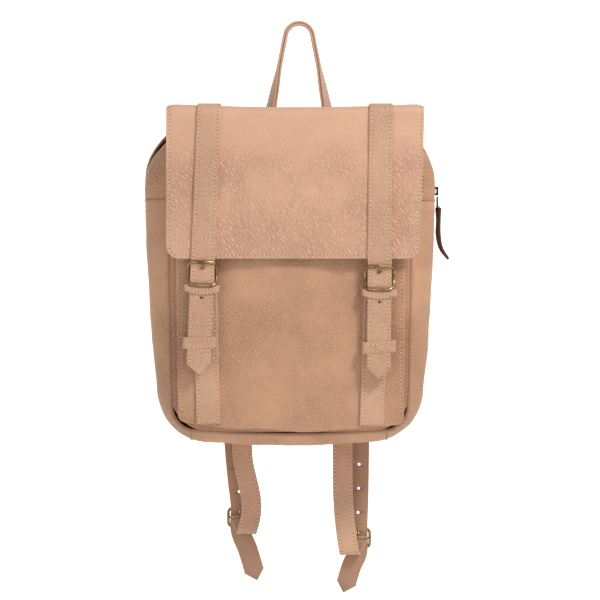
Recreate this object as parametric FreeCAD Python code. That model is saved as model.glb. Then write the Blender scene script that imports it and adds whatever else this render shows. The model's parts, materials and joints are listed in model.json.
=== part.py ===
"""Leather backpack with a front flap, hanging by its carrying handle.

Row frame, millimetres: +Z up, the front faces -Y, and the origin is the centre of the
round arch of the handle, where a hook or rail carries the bag. The writer makes one STEP
file per piece of leather or metal in parts/.
"""
import FreeCAD, Part
import math
import os
from collections import namedtuple

from FreeCAD import Placement, Rotation, Vector

# ---- driving dimensions -------------------------------------------------------------
SKIN = 2.2                 # leather of the bag's walls
FLAP_SKIN = 2.5            # leather of the flap
STRAP_SKIN = 2.4           # leather of every strap
CLEAR = 0.3                # running clearance between pieces that move apart

HANG_RADIUS = 12.0         # inside of the handle's round arch
HANDLE_WIDTH = 22.0
HANDLE_SKIN = 5.0          # folded double strap

BODY_X = -9.5              # middle of the bag, which hangs a little to one side
BACK_Y = -10.0             # outer face of the back panel
FRONT_Y = -110.0           # outer face of the pocket front
ZIP_Y = -55.0              # line of the zip over the top of the gusset
GUSSET_SEAM_Z = -174.0     # cross seam where zip gusset meets side gusset
BASE_SEAM_LOW_X, BASE_SEAM_HIGH_X = -113.5, 92.5

POCKET_X = -8.5
POCKET_HALF = 121.5
POCKET_TOP, POCKET_BOTTOM = -125.0, -412.0

FLAP_LEFT, FLAP_RIGHT, FLAP_RIGHT_LOW = -139.0, 131.0, 125.5
FLAP_TOP, FLAP_BOTTOM = -75.5, -236.0
FLAP_FRONT_Y = -118.0      # inner face of the hanging part of the flap
FLAP_BACK_Y = -12.5        # where the flap leaves the back panel
FLAP_CORNER = 14.0

FRONT_STRAP = 25.0         # flap straps, body straps
SHOULDER_STRAP = 21.0      # lower part of the shoulder straps

Section = namedtuple("Section", "y half_top half_low top bottom r_top r_low")
FRONT_SEAM = Section(-96.0, 129.0, 125.0, -90.0, -417.0, 58.0, 27.0)
FULL_FRONT = Section(-74.0, 156.5, 137.0, -86.0, -430.0, 70.0, 40.0)
FULL_BACK = Section(-36.0, 156.5, 137.0, -86.0, -430.0, 70.0, 40.0)
BACK_SEAM = Section(BACK_Y - SKIN, 140.0, 128.0, -84.0, -424.0, 62.0, 36.0)

Buckled = namedtuple("Buckled", "side x z lean top")
FRONT_STRAPS = (Buckled("left", -101.2, -251.0, 2.34, 171.5),
                Buckled("right", 84.0, -255.5, 0.54, 176.0))
CROWN_STRAP_X = {"left": -94.0, "right": 85.8}
BODY_STRAP_X = {"left": (-99.5, -97.0), "right": (82.0, 78.0)}

# side, middle at the bag's edge behind and in front, buckle middle x and z, and the
# tail's sideways run and length
Loop = namedtuple("Loop", "side top_x front_x x z tail_x tail")
LOOPS = (Loop("left", -69.0, -60.0, -62.0, -509.0, 17.0, 66.0),
         Loop("right", 64.0, 46.0, 62.0, -531.0, -14.0, 57.0))


# ---- helpers ------------------------------------------------------------------------
def rounded(points, radii, y=0.0):
    """Closed wire in the plane Y=y through (x, z) corners, each rounded to its radius."""
    corners = [Vector(x, y, z) for x, z in points]
    stops = []
    for i, corner in enumerate(corners):
        before = (corners[i - 1] - corner).normalize()
        after = (corners[(i + 1) % len(corners)] - corner).normalize()
        half = before.getAngle(after) / 2
        inward = (before + after).normalize()
        radius = radii[i]
        reach = radius / math.tan(half)
        middle = corner + inward * (radius / math.sin(half) - radius)
        stops.append((corner + before * reach, middle, corner + after * reach))
    edges = []
    for i, (start, middle, end) in enumerate(stops):
        if radii[i] > 0:
            edges.append(Part.Arc(start, middle, end).toShape())
        following = stops[(i + 1) % len(stops)][0]
        edges.append(Part.LineSegment(end, following).toShape())
    return Part.Wire(edges)


def plate(points, radii, y, thickness):
    """Flat sheet whose outline is in X and Z and whose rear face is y + thickness."""
    face = Part.Face(rounded(points, radii, y))
    return face.extrude(Vector(0, thickness, 0))


def block(x0, x1, y0, y1, z0, z1):
    return Part.makeBox(x1 - x0, y1 - y0, z1 - z0, Vector(x0, y0, z0))


def rod(start, end, radius):
    run = end - start
    return Part.makeCylinder(radius, run.Length, start, run)


def profile(points, x0, x1):
    """Prism along X whose outline is given as (y, z) points."""
    wire = Part.makePolygon([Vector(x0, y, z) for y, z in points + points[:1]])
    return Part.Face(wire).extrude(Vector(x1 - x0, 0, 0))


def band(centres, halves, y, thickness):
    """Strap that follows (x, z) centres with a half width at each, flat to the front."""
    left, right = [], []
    for i, (x, z) in enumerate(centres):
        ahead, behind = centres[min(i + 1, len(centres) - 1)], centres[max(i - 1, 0)]
        run = Vector(ahead[0] - behind[0], 0, ahead[1] - behind[1]).normalize()
        left.append((x + run.z * halves[i], z - run.x * halves[i]))
        right.append((x - run.z * halves[i], z + run.x * halves[i]))
    outline = left + right[::-1]
    wire = Part.makePolygon([Vector(x, y, z) for x, z in outline + outline[:1]])
    return Part.Face(wire).extrude(Vector(0, thickness, 0))


def section_wire(section, inset=0.0):
    low, high = BODY_X - section.half_low + inset, BODY_X + section.half_low - inset
    left, right = BODY_X - section.half_top + inset, BODY_X + section.half_top - inset
    top, bottom = section.top - inset, section.bottom + inset
    points = [(left, top), (right, top), (high, bottom), (low, bottom)]
    radii = [section.r_top - inset] * 2 + [section.r_low - inset] * 2
    return rounded(points, radii, section.y)


def bag_solid(inset):
    """Filled bag between its front and back seams, inset from the outer surface."""
    wires = [section_wire(s, inset) for s in (FRONT_SEAM, FULL_FRONT, FULL_BACK, BACK_SEAM)]
    return Part.makeLoft(wires, True, True)


def mouth_tool(half_top, half_low, bottom):
    """Prism across the bag for the zip opening: wide on top, narrow down both sides."""
    outline = [(ZIP_Y - half_top, 0.0), (ZIP_Y - half_top, -108.0), (ZIP_Y - half_low, -150.0),
               (ZIP_Y - half_low, bottom), (ZIP_Y + half_low, bottom),
               (ZIP_Y + half_low, -150.0), (ZIP_Y + half_top, -108.0), (ZIP_Y + half_top, 0.0)]
    return profile(outline, -250.0, 250.0)


def placed(shape, x, y, z, lean=0.0, facing_back=False):
    """Put strap hardware, drawn about the buckle's centre bar, in its place on the bag."""
    turned = shape.copy()
    if facing_back:
        turned.Placement = Placement(Vector(), Rotation(Vector(0, 0, 1), 180))
    lean_turn = Placement(Vector(x, y, z), Rotation(Vector(0, 1, 0), lean))
    turned.Placement = lean_turn.multiply(turned.Placement)
    return turned


def save(name, shape):
    if len(shape.Solids) == 1:
        shape = shape.Solids[0]
    if not shape.isValid() or not shape.Solids:
        print("CHECK", name, "valid", shape.isValid(), "solids", len(shape.Solids))
    shape.exportStep(os.path.join("parts", name + ".step"))


# ---- buckles, drawn about the centre bar: x across, z up the strap, -y outwards ---------
WIRE = 1.3                 # wire radius of a buckle frame
TOP_WIRE = 1.8             # thicker bar that the prong rests on
BAR = 1.1                  # centre bar
ROLL = 2.2                 # outside of the leather rolled round the centre bar
BILLET_Y = ROLL + 0.2      # distance from the centre bar to the strap's inner face
RAIL_GAP = 0.9             # strap edge to side rail
FRAME_RISE = BILLET_Y + STRAP_SKIN + 0.2


def buckle_frame(strap):
    rail_x = strap / 2 + RAIL_GAP + WIRE
    top = Vector(0, -FRAME_RISE - TOP_WIRE, 11.6 * strap / FRONT_STRAP)
    bottom = Vector(0, -FRAME_RISE - WIRE, -12.1 * strap / FRONT_STRAP)
    side = Vector(rail_x, 0, 0)
    pieces = [rod(top - side, top + side, TOP_WIRE), rod(bottom - side, bottom + side, WIRE),
              rod(-side, side, BAR)]
    for sign in (-1, 1):
        offset = side * sign
        rail = Part.Wire([Part.Arc(top + offset, offset, bottom + offset).toShape()])
        centre = rail.Edges[0].valueAt(rail.Edges[0].FirstParameter)
        tangent = rail.Edges[0].tangentAt(rail.Edges[0].FirstParameter)
        ring = Part.Wire([Part.makeCircle(WIRE, centre, tangent)])
        pieces.append(rail.makePipeShell([ring], True, False))
        pieces.append(Part.makeSphere(TOP_WIRE, top + offset))
        pieces.append(Part.makeSphere(WIRE, bottom + offset))
    return pieces[0].multiFuse(pieces[1:])


PRONG = 1.0
PRONG_EYE = BAR + 0.05


def prong(strap):
    """Wire tongue: an eye round the centre bar, then up through the strap's hole."""
    scale = strap / FRONT_STRAP
    eye = Part.makeCylinder(ROLL - 0.1, 2.6, Vector(-1.3, 0, 0), Vector(1, 0, 0))
    bend = Vector(0, -FRAME_RISE - 3.5, 7.2 * scale)
    tip = Vector(0, -FRAME_RISE - 5.5, 12.9 * scale + 0.6)
    shank = [rod(Vector(0, 0, 1.2), bend, PRONG), Part.makeSphere(PRONG, bend),
             rod(bend, tip, PRONG), Part.makeSphere(PRONG, tip)]
    bore = Part.makeCylinder(PRONG_EYE, 10.0, Vector(-5, 0, 0), Vector(1, 0, 0))
    return eye.multiFuse(shank).cut(bore)


def billet_slot():
    """Oval hole for the prong, long enough for the prong to rock in."""
    return block(-1.7, 1.7, -20, 0, 0.6, 8.4)


def chape(strap, length):
    """Leather tab rolled round the centre bar, notched for the prong."""
    half = strap / 2 - 0.4
    roll = Part.makeCylinder(ROLL, 2 * half, Vector(-half, 0, 0), Vector(1, 0, 0))
    tab = block(-half, half, -ROLL, -ROLL + 2.5, -length, 0)
    bore = Part.makeCylinder(BAR + 0.05, 60.0, Vector(-30, 0, 0), Vector(1, 0, 0))
    notch = block(-1.8, 1.8, -6, 6, -2.8, 6)
    return roll.fuse(tab).cut(bore).cut(notch)


def keeper(inner_half, outer_half, inner_y, height, z):
    """Closed leather loop: inner_y are its inside faces, front then rear."""
    wall = 1.7
    outer = block(-outer_half, outer_half, inner_y[0] - wall, inner_y[1] + wall,
                  z - height / 2, z + height / 2)
    inner = block(-inner_half, inner_half, inner_y[0], inner_y[1], z - height, z + height)
    return outer.cut(inner)


# ---- the bag's walls ------------------------------------------------------------------
FAR = 300.0                # beyond every piece of the bag
TAPE_SKIN = 0.9
STRIP_MOUTH = (22.0, 6.5, -172.0)   # half opening on top and down the sides, and its end
TAPE_OUTER = (29.0, 12.0, -173.0)   # the same for the tape's sewn edge
TAPE_INNER = (18.5, 1.9, -171.5)    # and for its free edge


def bag_walls():
    ring = bag_solid(0.0).cut(bag_solid(SKIN))
    far = FAR
    upper = block(-far, far, -far, far, GUSSET_SEAM_Z, 0)
    lower = block(-far, far, -far, far, -far * 2, GUSSET_SEAM_Z)
    top_ring = ring.common(upper)
    low_ring = ring.common(lower)
    strips = top_ring.cut(mouth_tool(*STRIP_MOUTH))
    save("zip_strip_front", strips.common(block(-far, far, -far, ZIP_Y, -far, 0)))
    save("zip_strip_rear", strips.common(block(-far, far, ZIP_Y, far, -far, 0)))
    save("gusset_left", low_ring.common(block(-far, BASE_SEAM_LOW_X, -far, far, -far * 2, 0)))
    save("gusset_right", low_ring.common(block(BASE_SEAM_HIGH_X, far, -far, far, -far * 2, 0)))
    save("base_panel", low_ring.common(
        block(BASE_SEAM_LOW_X, BASE_SEAM_HIGH_X, -far, far, -far * 2, -380)))

    tapes = bag_solid(SKIN).cut(bag_solid(SKIN + TAPE_SKIN))
    tapes = tapes.common(mouth_tool(*TAPE_OUTER)).cut(mouth_tool(*TAPE_INNER))
    tapes = tapes.common(block(-far, far, -95, -13, GUSSET_SEAM_Z, 0))
    save("zip_tape_front", tapes.common(block(-far, far, -far, ZIP_Y, -far, 0)))
    save("zip_tape_rear", tapes.common(block(-far, far, ZIP_Y, far, -far, 0)))

    save("back_panel", Part.Face(section_wire(BACK_SEAM)).extrude(Vector(0, SKIN, 0)))
    front = Part.Face(section_wire(FRONT_SEAM)).extrude(Vector(0, -SKIN, 0))
    save("body_front", front)


def front_pocket():
    left, right = POCKET_X - POCKET_HALF, POCKET_X + POCKET_HALF
    corners = [(left, POCKET_TOP), (right, POCKET_TOP),
               (right - 3, POCKET_BOTTOM), (left + 3, POCKET_BOTTOM)]
    save("front_panel", plate(corners, [6, 6, 40, 40], FRONT_Y, SKIN))
    band_y = FRONT_Y + SKIN
    band_depth = FRONT_SEAM.y - SKIN - band_y
    outer = plate(corners, [0, 0, 40, 40], band_y, band_depth)
    inner_corners = [(left + SKIN, 0), (right - SKIN, 0),
                     (right - 3 - SKIN, POCKET_BOTTOM + SKIN),
                     (left + 3 + SKIN, POCKET_BOTTOM + SKIN)]
    inner = plate(inner_corners, [0, 0, 38, 38], band_y, band_depth)
    save("pocket_band", outer.cut(inner))


# ---- the flap -------------------------------------------------------------------------
def flap():
    inner_z = FLAP_TOP - FLAP_SKIN
    save("flap_top", block(FLAP_LEFT, FLAP_RIGHT, FLAP_FRONT_Y + 2, FLAP_BACK_Y,
                           inner_z, FLAP_TOP))
    corners = [(FLAP_LEFT, inner_z - 1.5), (FLAP_RIGHT, inner_z - 1.5),
               (FLAP_RIGHT_LOW, FLAP_BOTTOM), (FLAP_LEFT + 0.5, FLAP_BOTTOM + 2)]
    save("flap_front", plate(corners, [0, 0, FLAP_CORNER, FLAP_CORNER],
                             FLAP_FRONT_Y - FLAP_SKIN, FLAP_SKIN))
    save("flap_root", block(FLAP_LEFT + 8, FLAP_RIGHT - 8, BACK_Y, BACK_Y + SKIN,
                            -112.0, FLAP_TOP - 1.5))
    for side, x in CROWN_STRAP_X.items():
        save("crown_strap_" + side,
             block(x - FRONT_STRAP / 2, x + FRONT_STRAP / 2, FLAP_FRONT_Y + 2,
                   FLAP_BACK_Y - 1, FLAP_TOP, FLAP_TOP + STRAP_SKIN))


SNAP_Z = -40.0
SNAP_RADIUS = 7.5
FIXED_KEEPER_Z, SLIDING_KEEPER_Z = -18.0, -73.0


def front_straps():
    """Strap, buckle, keepers and snap of each front closure."""
    bar_y = FLAP_FRONT_Y - FLAP_SKIN + BILLET_Y - 0.1
    half = FRONT_STRAP / 2
    billet_front, billet_rear = -BILLET_Y - STRAP_SKIN, -BILLET_Y
    for strap in FRONT_STRAPS:
        pose = (strap.x, bar_y, strap.z, strap.lean)
        outline = [(-half, strap.top), (half, strap.top), (half, -95.0), (3, -106.0),
                   (-3, -106.0), (-half, -95.0)]
        leather = plate(outline, [0, 0, 3, 2, 2, 3], billet_front, STRAP_SKIN)
        next_hole = Part.makeCylinder(1.5, 20, Vector(0, -20, -24), Vector(0, 1, 0))
        leather = leather.cut(billet_slot()).cut(next_hole)
        save("flap_strap_" + strap.side, placed(leather, *pose))
        save("buckle_" + strap.side, placed(buckle_frame(FRONT_STRAP), *pose))
        save("prong_" + strap.side, placed(prong(FRONT_STRAP), *pose))
        tab = chape(FRONT_STRAP, 58.0)
        save("chape_" + strap.side, placed(tab, *pose))
        inside = (billet_front - 0.2, -ROLL + 2.6)
        save("keeper_fixed_" + strap.side,
             placed(keeper(half + 0.3, 17.5, inside, 7.5, FIXED_KEEPER_Z), *pose))
        inside = (billet_front - CLEAR, billet_rear + CLEAR)
        save("keeper_sliding_" + strap.side,
             placed(keeper(half + CLEAR, 16.5, inside, 12.5, SLIDING_KEEPER_Z), *pose))
        rear = -ROLL + 2.5
        panel_gap = FRONT_Y - STRAP_SKIN - bar_y
        stud = Part.makeCylinder(SNAP_RADIUS, panel_gap - 2.0 - CLEAR - rear,
                                 Vector(0, rear, SNAP_Z), Vector(0, 1, 0))
        socket = Part.makeCylinder(SNAP_RADIUS, 2.0, Vector(0, panel_gap - 2.0, SNAP_Z),
                                   Vector(0, 1, 0))
        save("snap_stud_" + strap.side, placed(stud, *pose))
        save("snap_socket_" + strap.side, placed(socket, *pose))
        top_x, low_x = BODY_STRAP_X[strap.side]
        save("body_strap_" + strap.side,
             band([(top_x, -266.0), (low_x, -409.0)], [half, half],
                  FRONT_Y - STRAP_SKIN, STRAP_SKIN))


# ---- handle ---------------------------------------------------------------------------
HANDLE_PIVOT_Z = -98.0
HANDLE_PIVOT_Y = -4.0
LEG_SPREAD = 11.0          # degrees from upright
# height, depth, twist and thickness of the sections of a leg, from the arch down
LEG_SECTIONS = ((-29.0, 0.0, 0.0, 5.0), (-55.0, 1.5, 14.0, 4.8), (-76.0, 4.2, 20.0, 4.6),
                (-87.0, 1.4, 58.0, 4.2), (HANDLE_PIVOT_Z + CLEAR, -6.0, 90.0, 3.5))


def turned_section(x, y, z, width, skin, twist):
    """Rectangle of a leg of the handle, twisted about the vertical."""
    wire = Part.makePolygon([Vector(u, v, 0) for u, v in
                             ((-skin / 2, -width / 2), (skin / 2, -width / 2),
                              (skin / 2, width / 2), (-skin / 2, width / 2),
                              (-skin / 2, -width / 2))])
    wire.Placement = Placement(Vector(x, y, z), Rotation(Vector(0, 0, 1), twist))
    return wire


def handle():
    """Arch of true radius, legs that spread, twist and end flat against the back."""
    middle = HANG_RADIUS + HANDLE_SKIN / 2
    start = math.radians(LEG_SPREAD)
    width = HANDLE_WIDTH
    outer = Part.makeCylinder(HANG_RADIUS + HANDLE_SKIN, width, Vector(0, -width / 2, 0),
                              Vector(0, 1, 0))
    hole = Part.makeCylinder(HANG_RADIUS, width, Vector(0, -width / 2, 0), Vector(0, 1, 0))
    wedge_reach = 60.0
    keep = plate([(0, 0), (-wedge_reach * math.cos(start), wedge_reach * math.sin(start)),
                  (-wedge_reach, wedge_reach), (wedge_reach, wedge_reach),
                  (wedge_reach * math.cos(start), wedge_reach * math.sin(start))],
                 [0] * 5, -width / 2, width)
    shape = outer.cut(hole).common(keep)
    joint_x, joint_z = middle * math.cos(start), middle * math.sin(start)
    for sign in (-1, 1):
        sections = []
        for z, y, twist, skin in LEG_SECTIONS:
            x = joint_x + (joint_z - z) * math.tan(start)
            sections.append(turned_section(sign * x, y, z, width, skin, -sign * twist))
        straight = joint_x + (joint_z + 29) * math.tan(start)
        side = Vector(math.cos(start), 0, math.sin(start)) * (HANDLE_SKIN / 2)
        at = [Vector(joint_x, 0, joint_z) - side, Vector(joint_x, 0, joint_z) + side,
              Vector(straight, 0, -29) + Vector(2.5, 0, 0),
              Vector(straight, 0, -29) - Vector(2.5, 0, 0)]
        upper = plate([(sign * p.x, p.z) for p in at], [0] * 4, -width / 2, width)
        shape = shape.fuse([upper, Part.makeLoft(sections, True, True)])
        end_x = sign * (joint_x + (joint_z - HANDLE_PIVOT_Z) * math.tan(start))
        name = "handle_end_" + ("left" if sign < 0 else "right")
        save(name, block(end_x - width / 2, end_x + width / 2, BACK_Y + SKIN,
                         HANDLE_PIVOT_Y - CLEAR, -122.0, HANDLE_PIVOT_Z))
    save("handle", shape.removeSplitter())


# ---- shoulder straps -------------------------------------------------------------------
LOOP_TOP_Z = -433.0


def shoulder_straps():
    half = SHOULDER_STRAP / 2
    bar_y = BACK_Y - BILLET_Y
    rear_face = BACK_Y + STRAP_SKIN
    for loop in LOOPS:
        sign = -1 if loop.side == "left" else 1
        root_x = BODY_X + sign * 27.0
        save("shoulder_strap_" + loop.side,
             band([(root_x, -134.0), (root_x + sign * 5, -190.0), (loop.top_x - sign * 9, -330.0),
                   (loop.top_x, -372.0), (loop.top_x, LOOP_TOP_Z)],
                  [18.0, 18.0, 18.0, half, half], BACK_Y, STRAP_SKIN))
        rise = LOOP_TOP_Z - CLEAR - loop.z
        top_x = loop.top_x - loop.x
        centres = [(top_x, rise), (top_x, rise - 6), (0, 16), (0, -15),
                   (loop.tail_x * 0.85, -loop.tail + 9), (loop.tail_x, -loop.tail)]
        tail = band(centres, [half, half, half, half, half, 2.5], BILLET_Y, STRAP_SKIN)
        slot = placed(billet_slot(), 0, 0, 0, facing_back=True)
        tail = tail.cut(slot)
        hole_count = 3
        for number in range(1, hole_count + 1):
            lift = 25.0 * number
            if lift < rise - 6:
                x = top_x * max(0.0, lift - 16) / (rise - 16)
                tail = tail.cut(Part.makeCylinder(1.3, 20, Vector(x, 0, lift), Vector(0, 1, 0)))
        pose = (loop.x, bar_y, loop.z)
        save("strap_tail_" + loop.side, placed(tail, *pose))
        for name, shape in (("strap_buckle_", buckle_frame(SHOULDER_STRAP)),
                            ("strap_prong_", prong(SHOULDER_STRAP))):
            save(name + loop.side, placed(shape, *pose, facing_back=True))
        save("lower_strap_" + loop.side, placed(lower_strap(rise, loop.front_x - loop.x), *pose))
        anchor = block(loop.front_x - half, loop.front_x + half, bar_y - LOWER_RUN - 1.2,
                       bar_y - LOWER_RUN + 1.2, LOOP_TOP_Z, -420.0)
        save("lower_anchor_" + loop.side, anchor.cut(bag_solid(0.0)))
    yoke_half = 52.0
    save("yoke", plate([(BODY_X - yoke_half, -126.0), (BODY_X + yoke_half, -126.0),
                        (BODY_X + yoke_half, -160.0), (BODY_X - yoke_half, -160.0)],
                       [5, 5, 12, 12], rear_face, SKIN))


LOWER_RUN = 9.0            # distance from the centre bar forward to the strap's front run


def lower_strap(rise, top_x):
    """Front run, turn under the buckle, and the roll round its centre bar."""
    half = SHOULDER_STRAP / 2
    skin = STRAP_SKIN
    front = band([(top_x, rise), (top_x, rise - 6), (0, 0), (0, -12)], [half] * 4,
                 -LOWER_RUN - skin / 2, skin)
    turn_radius = LOWER_RUN / 2
    outer = Part.makeCylinder(turn_radius + skin / 2, 2 * half, Vector(-half, -turn_radius, -12),
                              Vector(1, 0, 0))
    inner = Part.makeCylinder(turn_radius - skin / 2, 2 * half, Vector(-half, -turn_radius, -12),
                              Vector(1, 0, 0))
    under = block(-half, half, -20, 20, -40, -12)
    turn = outer.cut(inner).common(under)
    riser = block(-half, half, -skin / 2, skin / 2, -12, 0)
    roll = Part.makeCylinder(ROLL, 2 * half, Vector(-half, 0, 0), Vector(1, 0, 0))
    bore = Part.makeCylinder(BAR + 0.05, 60.0, Vector(-30, 0, 0), Vector(1, 0, 0))
    notch = block(-1.8, 1.8, -6, 6, -2.8, 6)
    tab = riser.fuse(roll).cut(bore).cut(notch)
    return front.multiFuse([turn, tab])


# ---- zip slider and pull ---------------------------------------------------------------
SLIDER_Z = -164.0
SLIDER_X = BODY_X + FULL_FRONT.half_top - 4.4   # the bag's outer face at that height
PULL_PIVOT_Z = -171.0
RING_STANDOFF = 5.2        # from the tape out to the ring's plane
PULL_STANDOFF = 4.6        # from the tape out to the pull, which clears the gusset as it rides up


def zip_slider():
    tape_x = SLIDER_X - SKIN
    core = block(tape_x - 2.6, tape_x + 2.4, ZIP_Y - 1.4, ZIP_Y + 1.4, SLIDER_Z - 4, SLIDER_Z + 4)
    outer = block(tape_x + 1.5, tape_x + 3.4, ZIP_Y - 4.6, ZIP_Y + 4.6, SLIDER_Z - 5, SLIDER_Z + 5)
    inner = block(tape_x - 3.6, tape_x - 2.0, ZIP_Y - 4.6, ZIP_Y + 4.6, SLIDER_Z - 5, SLIDER_Z + 5)
    bridge = block(tape_x + 3.0, tape_x + 6.4, ZIP_Y - 1.2, ZIP_Y + 1.2,
                   PULL_PIVOT_Z + 2.4, SLIDER_Z + 4)
    save("zip_slider", core.multiFuse([outer, inner, bridge]))
    ring = Part.makeTorus(6.0, 0.9, Vector(tape_x + RING_STANDOFF, ZIP_Y, PULL_PIVOT_Z - 5.5),
                          Vector(1, 0, 0))
    save("pull_ring", ring)
    x = tape_x + PULL_STANDOFF
    outline = [(x, PULL_PIVOT_Z - 12.4), (x + 3.2, PULL_PIVOT_Z - 12.4), (x + 3.4, -212.0),
               (x + 6.6, -226.0), (x + 14.8, -235.5), (x + 12.4, -237.6), (x + 3.4, -228.4),
               (x, -214.0)]
    wire = Part.makePolygon([Vector(px, ZIP_Y - 4.5, pz) for px, pz in outline + outline[:1]])
    save("zip_pull", Part.Face(wire).extrude(Vector(0, 9.0, 0)))


os.makedirs("parts", exist_ok=True)
bag_walls()
front_pocket()
flap()
front_straps()
handle()
shoulder_straps()
zip_slider()
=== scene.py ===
"""A leather backpack hanging by its handle, built piece by piece around its fixed frame."""

import json
import math

import bmesh
import bpy
from mathutils import Matrix, Vector, noise

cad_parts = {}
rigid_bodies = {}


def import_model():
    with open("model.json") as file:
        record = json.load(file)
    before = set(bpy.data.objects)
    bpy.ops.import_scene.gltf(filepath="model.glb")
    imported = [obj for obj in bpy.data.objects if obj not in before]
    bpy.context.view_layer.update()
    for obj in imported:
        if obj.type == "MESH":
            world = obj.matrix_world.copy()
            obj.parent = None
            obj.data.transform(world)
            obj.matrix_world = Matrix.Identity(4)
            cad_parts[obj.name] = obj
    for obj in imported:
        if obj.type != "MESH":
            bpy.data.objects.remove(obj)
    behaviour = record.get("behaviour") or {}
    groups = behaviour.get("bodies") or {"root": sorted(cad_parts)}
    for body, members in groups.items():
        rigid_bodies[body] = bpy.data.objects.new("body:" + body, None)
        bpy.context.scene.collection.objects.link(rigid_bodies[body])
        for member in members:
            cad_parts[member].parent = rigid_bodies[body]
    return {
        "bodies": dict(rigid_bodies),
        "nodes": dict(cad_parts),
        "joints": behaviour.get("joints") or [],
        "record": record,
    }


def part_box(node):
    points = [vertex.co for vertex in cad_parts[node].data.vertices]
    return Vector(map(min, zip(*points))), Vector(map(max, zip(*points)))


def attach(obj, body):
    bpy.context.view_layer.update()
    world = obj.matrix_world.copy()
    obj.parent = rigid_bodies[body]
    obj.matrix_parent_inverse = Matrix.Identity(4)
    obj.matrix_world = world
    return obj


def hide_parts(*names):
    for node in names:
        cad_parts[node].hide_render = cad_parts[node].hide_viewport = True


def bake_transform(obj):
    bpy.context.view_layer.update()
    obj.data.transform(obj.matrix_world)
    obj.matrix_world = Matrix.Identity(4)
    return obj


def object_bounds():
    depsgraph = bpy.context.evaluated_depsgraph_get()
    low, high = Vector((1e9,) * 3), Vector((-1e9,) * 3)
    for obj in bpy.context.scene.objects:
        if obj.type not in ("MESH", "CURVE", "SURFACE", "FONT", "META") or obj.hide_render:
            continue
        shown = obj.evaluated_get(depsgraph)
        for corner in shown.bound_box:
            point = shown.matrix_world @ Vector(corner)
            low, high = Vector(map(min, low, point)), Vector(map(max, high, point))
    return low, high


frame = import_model()
cad_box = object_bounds()
MM = 0.001
FRONT_WAY, BACK_WAY, RIGHT_WAY = Vector((0, -1, 0)), Vector((0, 1, 0)), Vector((1, 0, 0))


def box_mm(node):
    """Lower and upper corner of a node's box, in mm."""
    return tuple(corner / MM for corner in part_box(node))


def clamp(value):
    return min(1.0, max(0.0, value))


# ---- studio ------------------------------------------------------------------------------
# A white sweep of lit paper stands behind the hanging bag, and a large soft light high on
# the right is the key, with a weaker one on the left and white walls all round.


def hex_colour(code):
    """Linear colour for an sRGB hex code such as "d3a78e"."""
    channels = [int(code[i:i + 2], 16) / 255 for i in (0, 2, 4)]
    linear = [c / 12.92 if c <= 0.04045 else ((c + 0.055) / 1.055) ** 2.4 for c in channels]
    return (*linear, 1.0)


def add_node(tree, kind, sockets=None, **settings):
    """Adds a shader node. sockets maps an input's name or number to a value or an output."""
    node = tree.nodes.new("ShaderNode" + kind)
    for key, value in settings.items():
        setattr(node, key, value)
    for socket, value in (sockets or {}).items():
        if isinstance(value, bpy.types.NodeSocket):
            tree.links.new(value, node.inputs[socket])
        else:
            node.inputs[socket].default_value = value
    return node


def new_material(name):
    """Node material: its tree, its principled shader and a socket of object coordinates."""
    material = bpy.data.materials.new(name)
    material.use_nodes = True
    tree = material.node_tree
    tree.nodes.clear()
    shader = add_node(tree, "BsdfPrincipled")
    add_node(tree, "OutputMaterial", {"Surface": shader.outputs["BSDF"]})
    return material, tree, shader, add_node(tree, "TexCoord").outputs["Object"]


def maths(tree, operation, first, second):
    return add_node(tree, "Math", {0: first, 1: second}, operation=operation).outputs[0]


def add_bump(tree, shader, height, strength, depth):
    """Bumps the shader by a height socket, depth in mm."""
    bump = add_node(tree, "Bump", {"Height": height, "Strength": strength,
                                   "Distance": depth * MM})
    tree.links.new(bump.outputs[0], shader.inputs["Normal"])


def two_tone(tree, shader, factor, first, second):
    """Colours the shader with a mix of two linear colours."""
    mix = add_node(tree, "Mix", {0: factor, 6: first, 7: second}, data_type="RGBA")
    tree.links.new(mix.outputs[2], shader.inputs["Base Color"])


paper, paper_tree, paper_shader, paper_place = new_material("white_studio_paper")
paper_shader.inputs["Base Color"].default_value = hex_colour("fbfbfb")
paper_shader.inputs["Roughness"].default_value = 0.9
paper_shader.inputs["Emission Color"].default_value = hex_colour("ffffff")
paper_axes = add_node(paper_tree, "SeparateXYZ", {0: paper_place})
paper_glow = add_node(paper_tree, "MapRange", {0: paper_axes.outputs["Y"], 1: 0.0, 2: 0.6,
                                               3: 0.1, 4: 0.66}, interpolation_type="SMOOTHSTEP")
paper_tree.links.new(paper_glow.outputs[0], paper_shader.inputs["Emission Strength"])

SWEEP_FLOOR = cad_box[0][2] - 0.03
SWEEP_HALF, SWEEP_FRONT, SWEEP_BACK, SWEEP_RADIUS, SWEEP_RISE = 14.0, -14.0, 9.0, 1.5, 9.0
sweep_mesh = bmesh.new()
front_edge = [sweep_mesh.verts.new((x, SWEEP_FRONT, SWEEP_FLOOR))
              for x in (-SWEEP_HALF, SWEEP_HALF)]
edge = sweep_mesh.edges.new(front_edge)
floor_run = bmesh.ops.extrude_edge_only(sweep_mesh, edges=[edge])
floor_verts = [v for v in floor_run["geom"] if isinstance(v, bmesh.types.BMVert)]
bmesh.ops.translate(sweep_mesh, verts=floor_verts, vec=(0, SWEEP_BACK - SWEEP_FRONT, 0))
curve_edge = [e for e in floor_run["geom"] if isinstance(e, bmesh.types.BMEdge)]
bend = bmesh.ops.spin(sweep_mesh, geom=curve_edge + floor_verts, axis=(1, 0, 0),
                      cent=(0, SWEEP_BACK, SWEEP_FLOOR + SWEEP_RADIUS), dvec=(0, 0, 0),
                      angle=math.pi / 2, steps=16, use_merge=False)
wall_start = [g for g in bend["geom_last"] if isinstance(g, bmesh.types.BMEdge)]
wall = bmesh.ops.extrude_edge_only(sweep_mesh, edges=wall_start)
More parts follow.
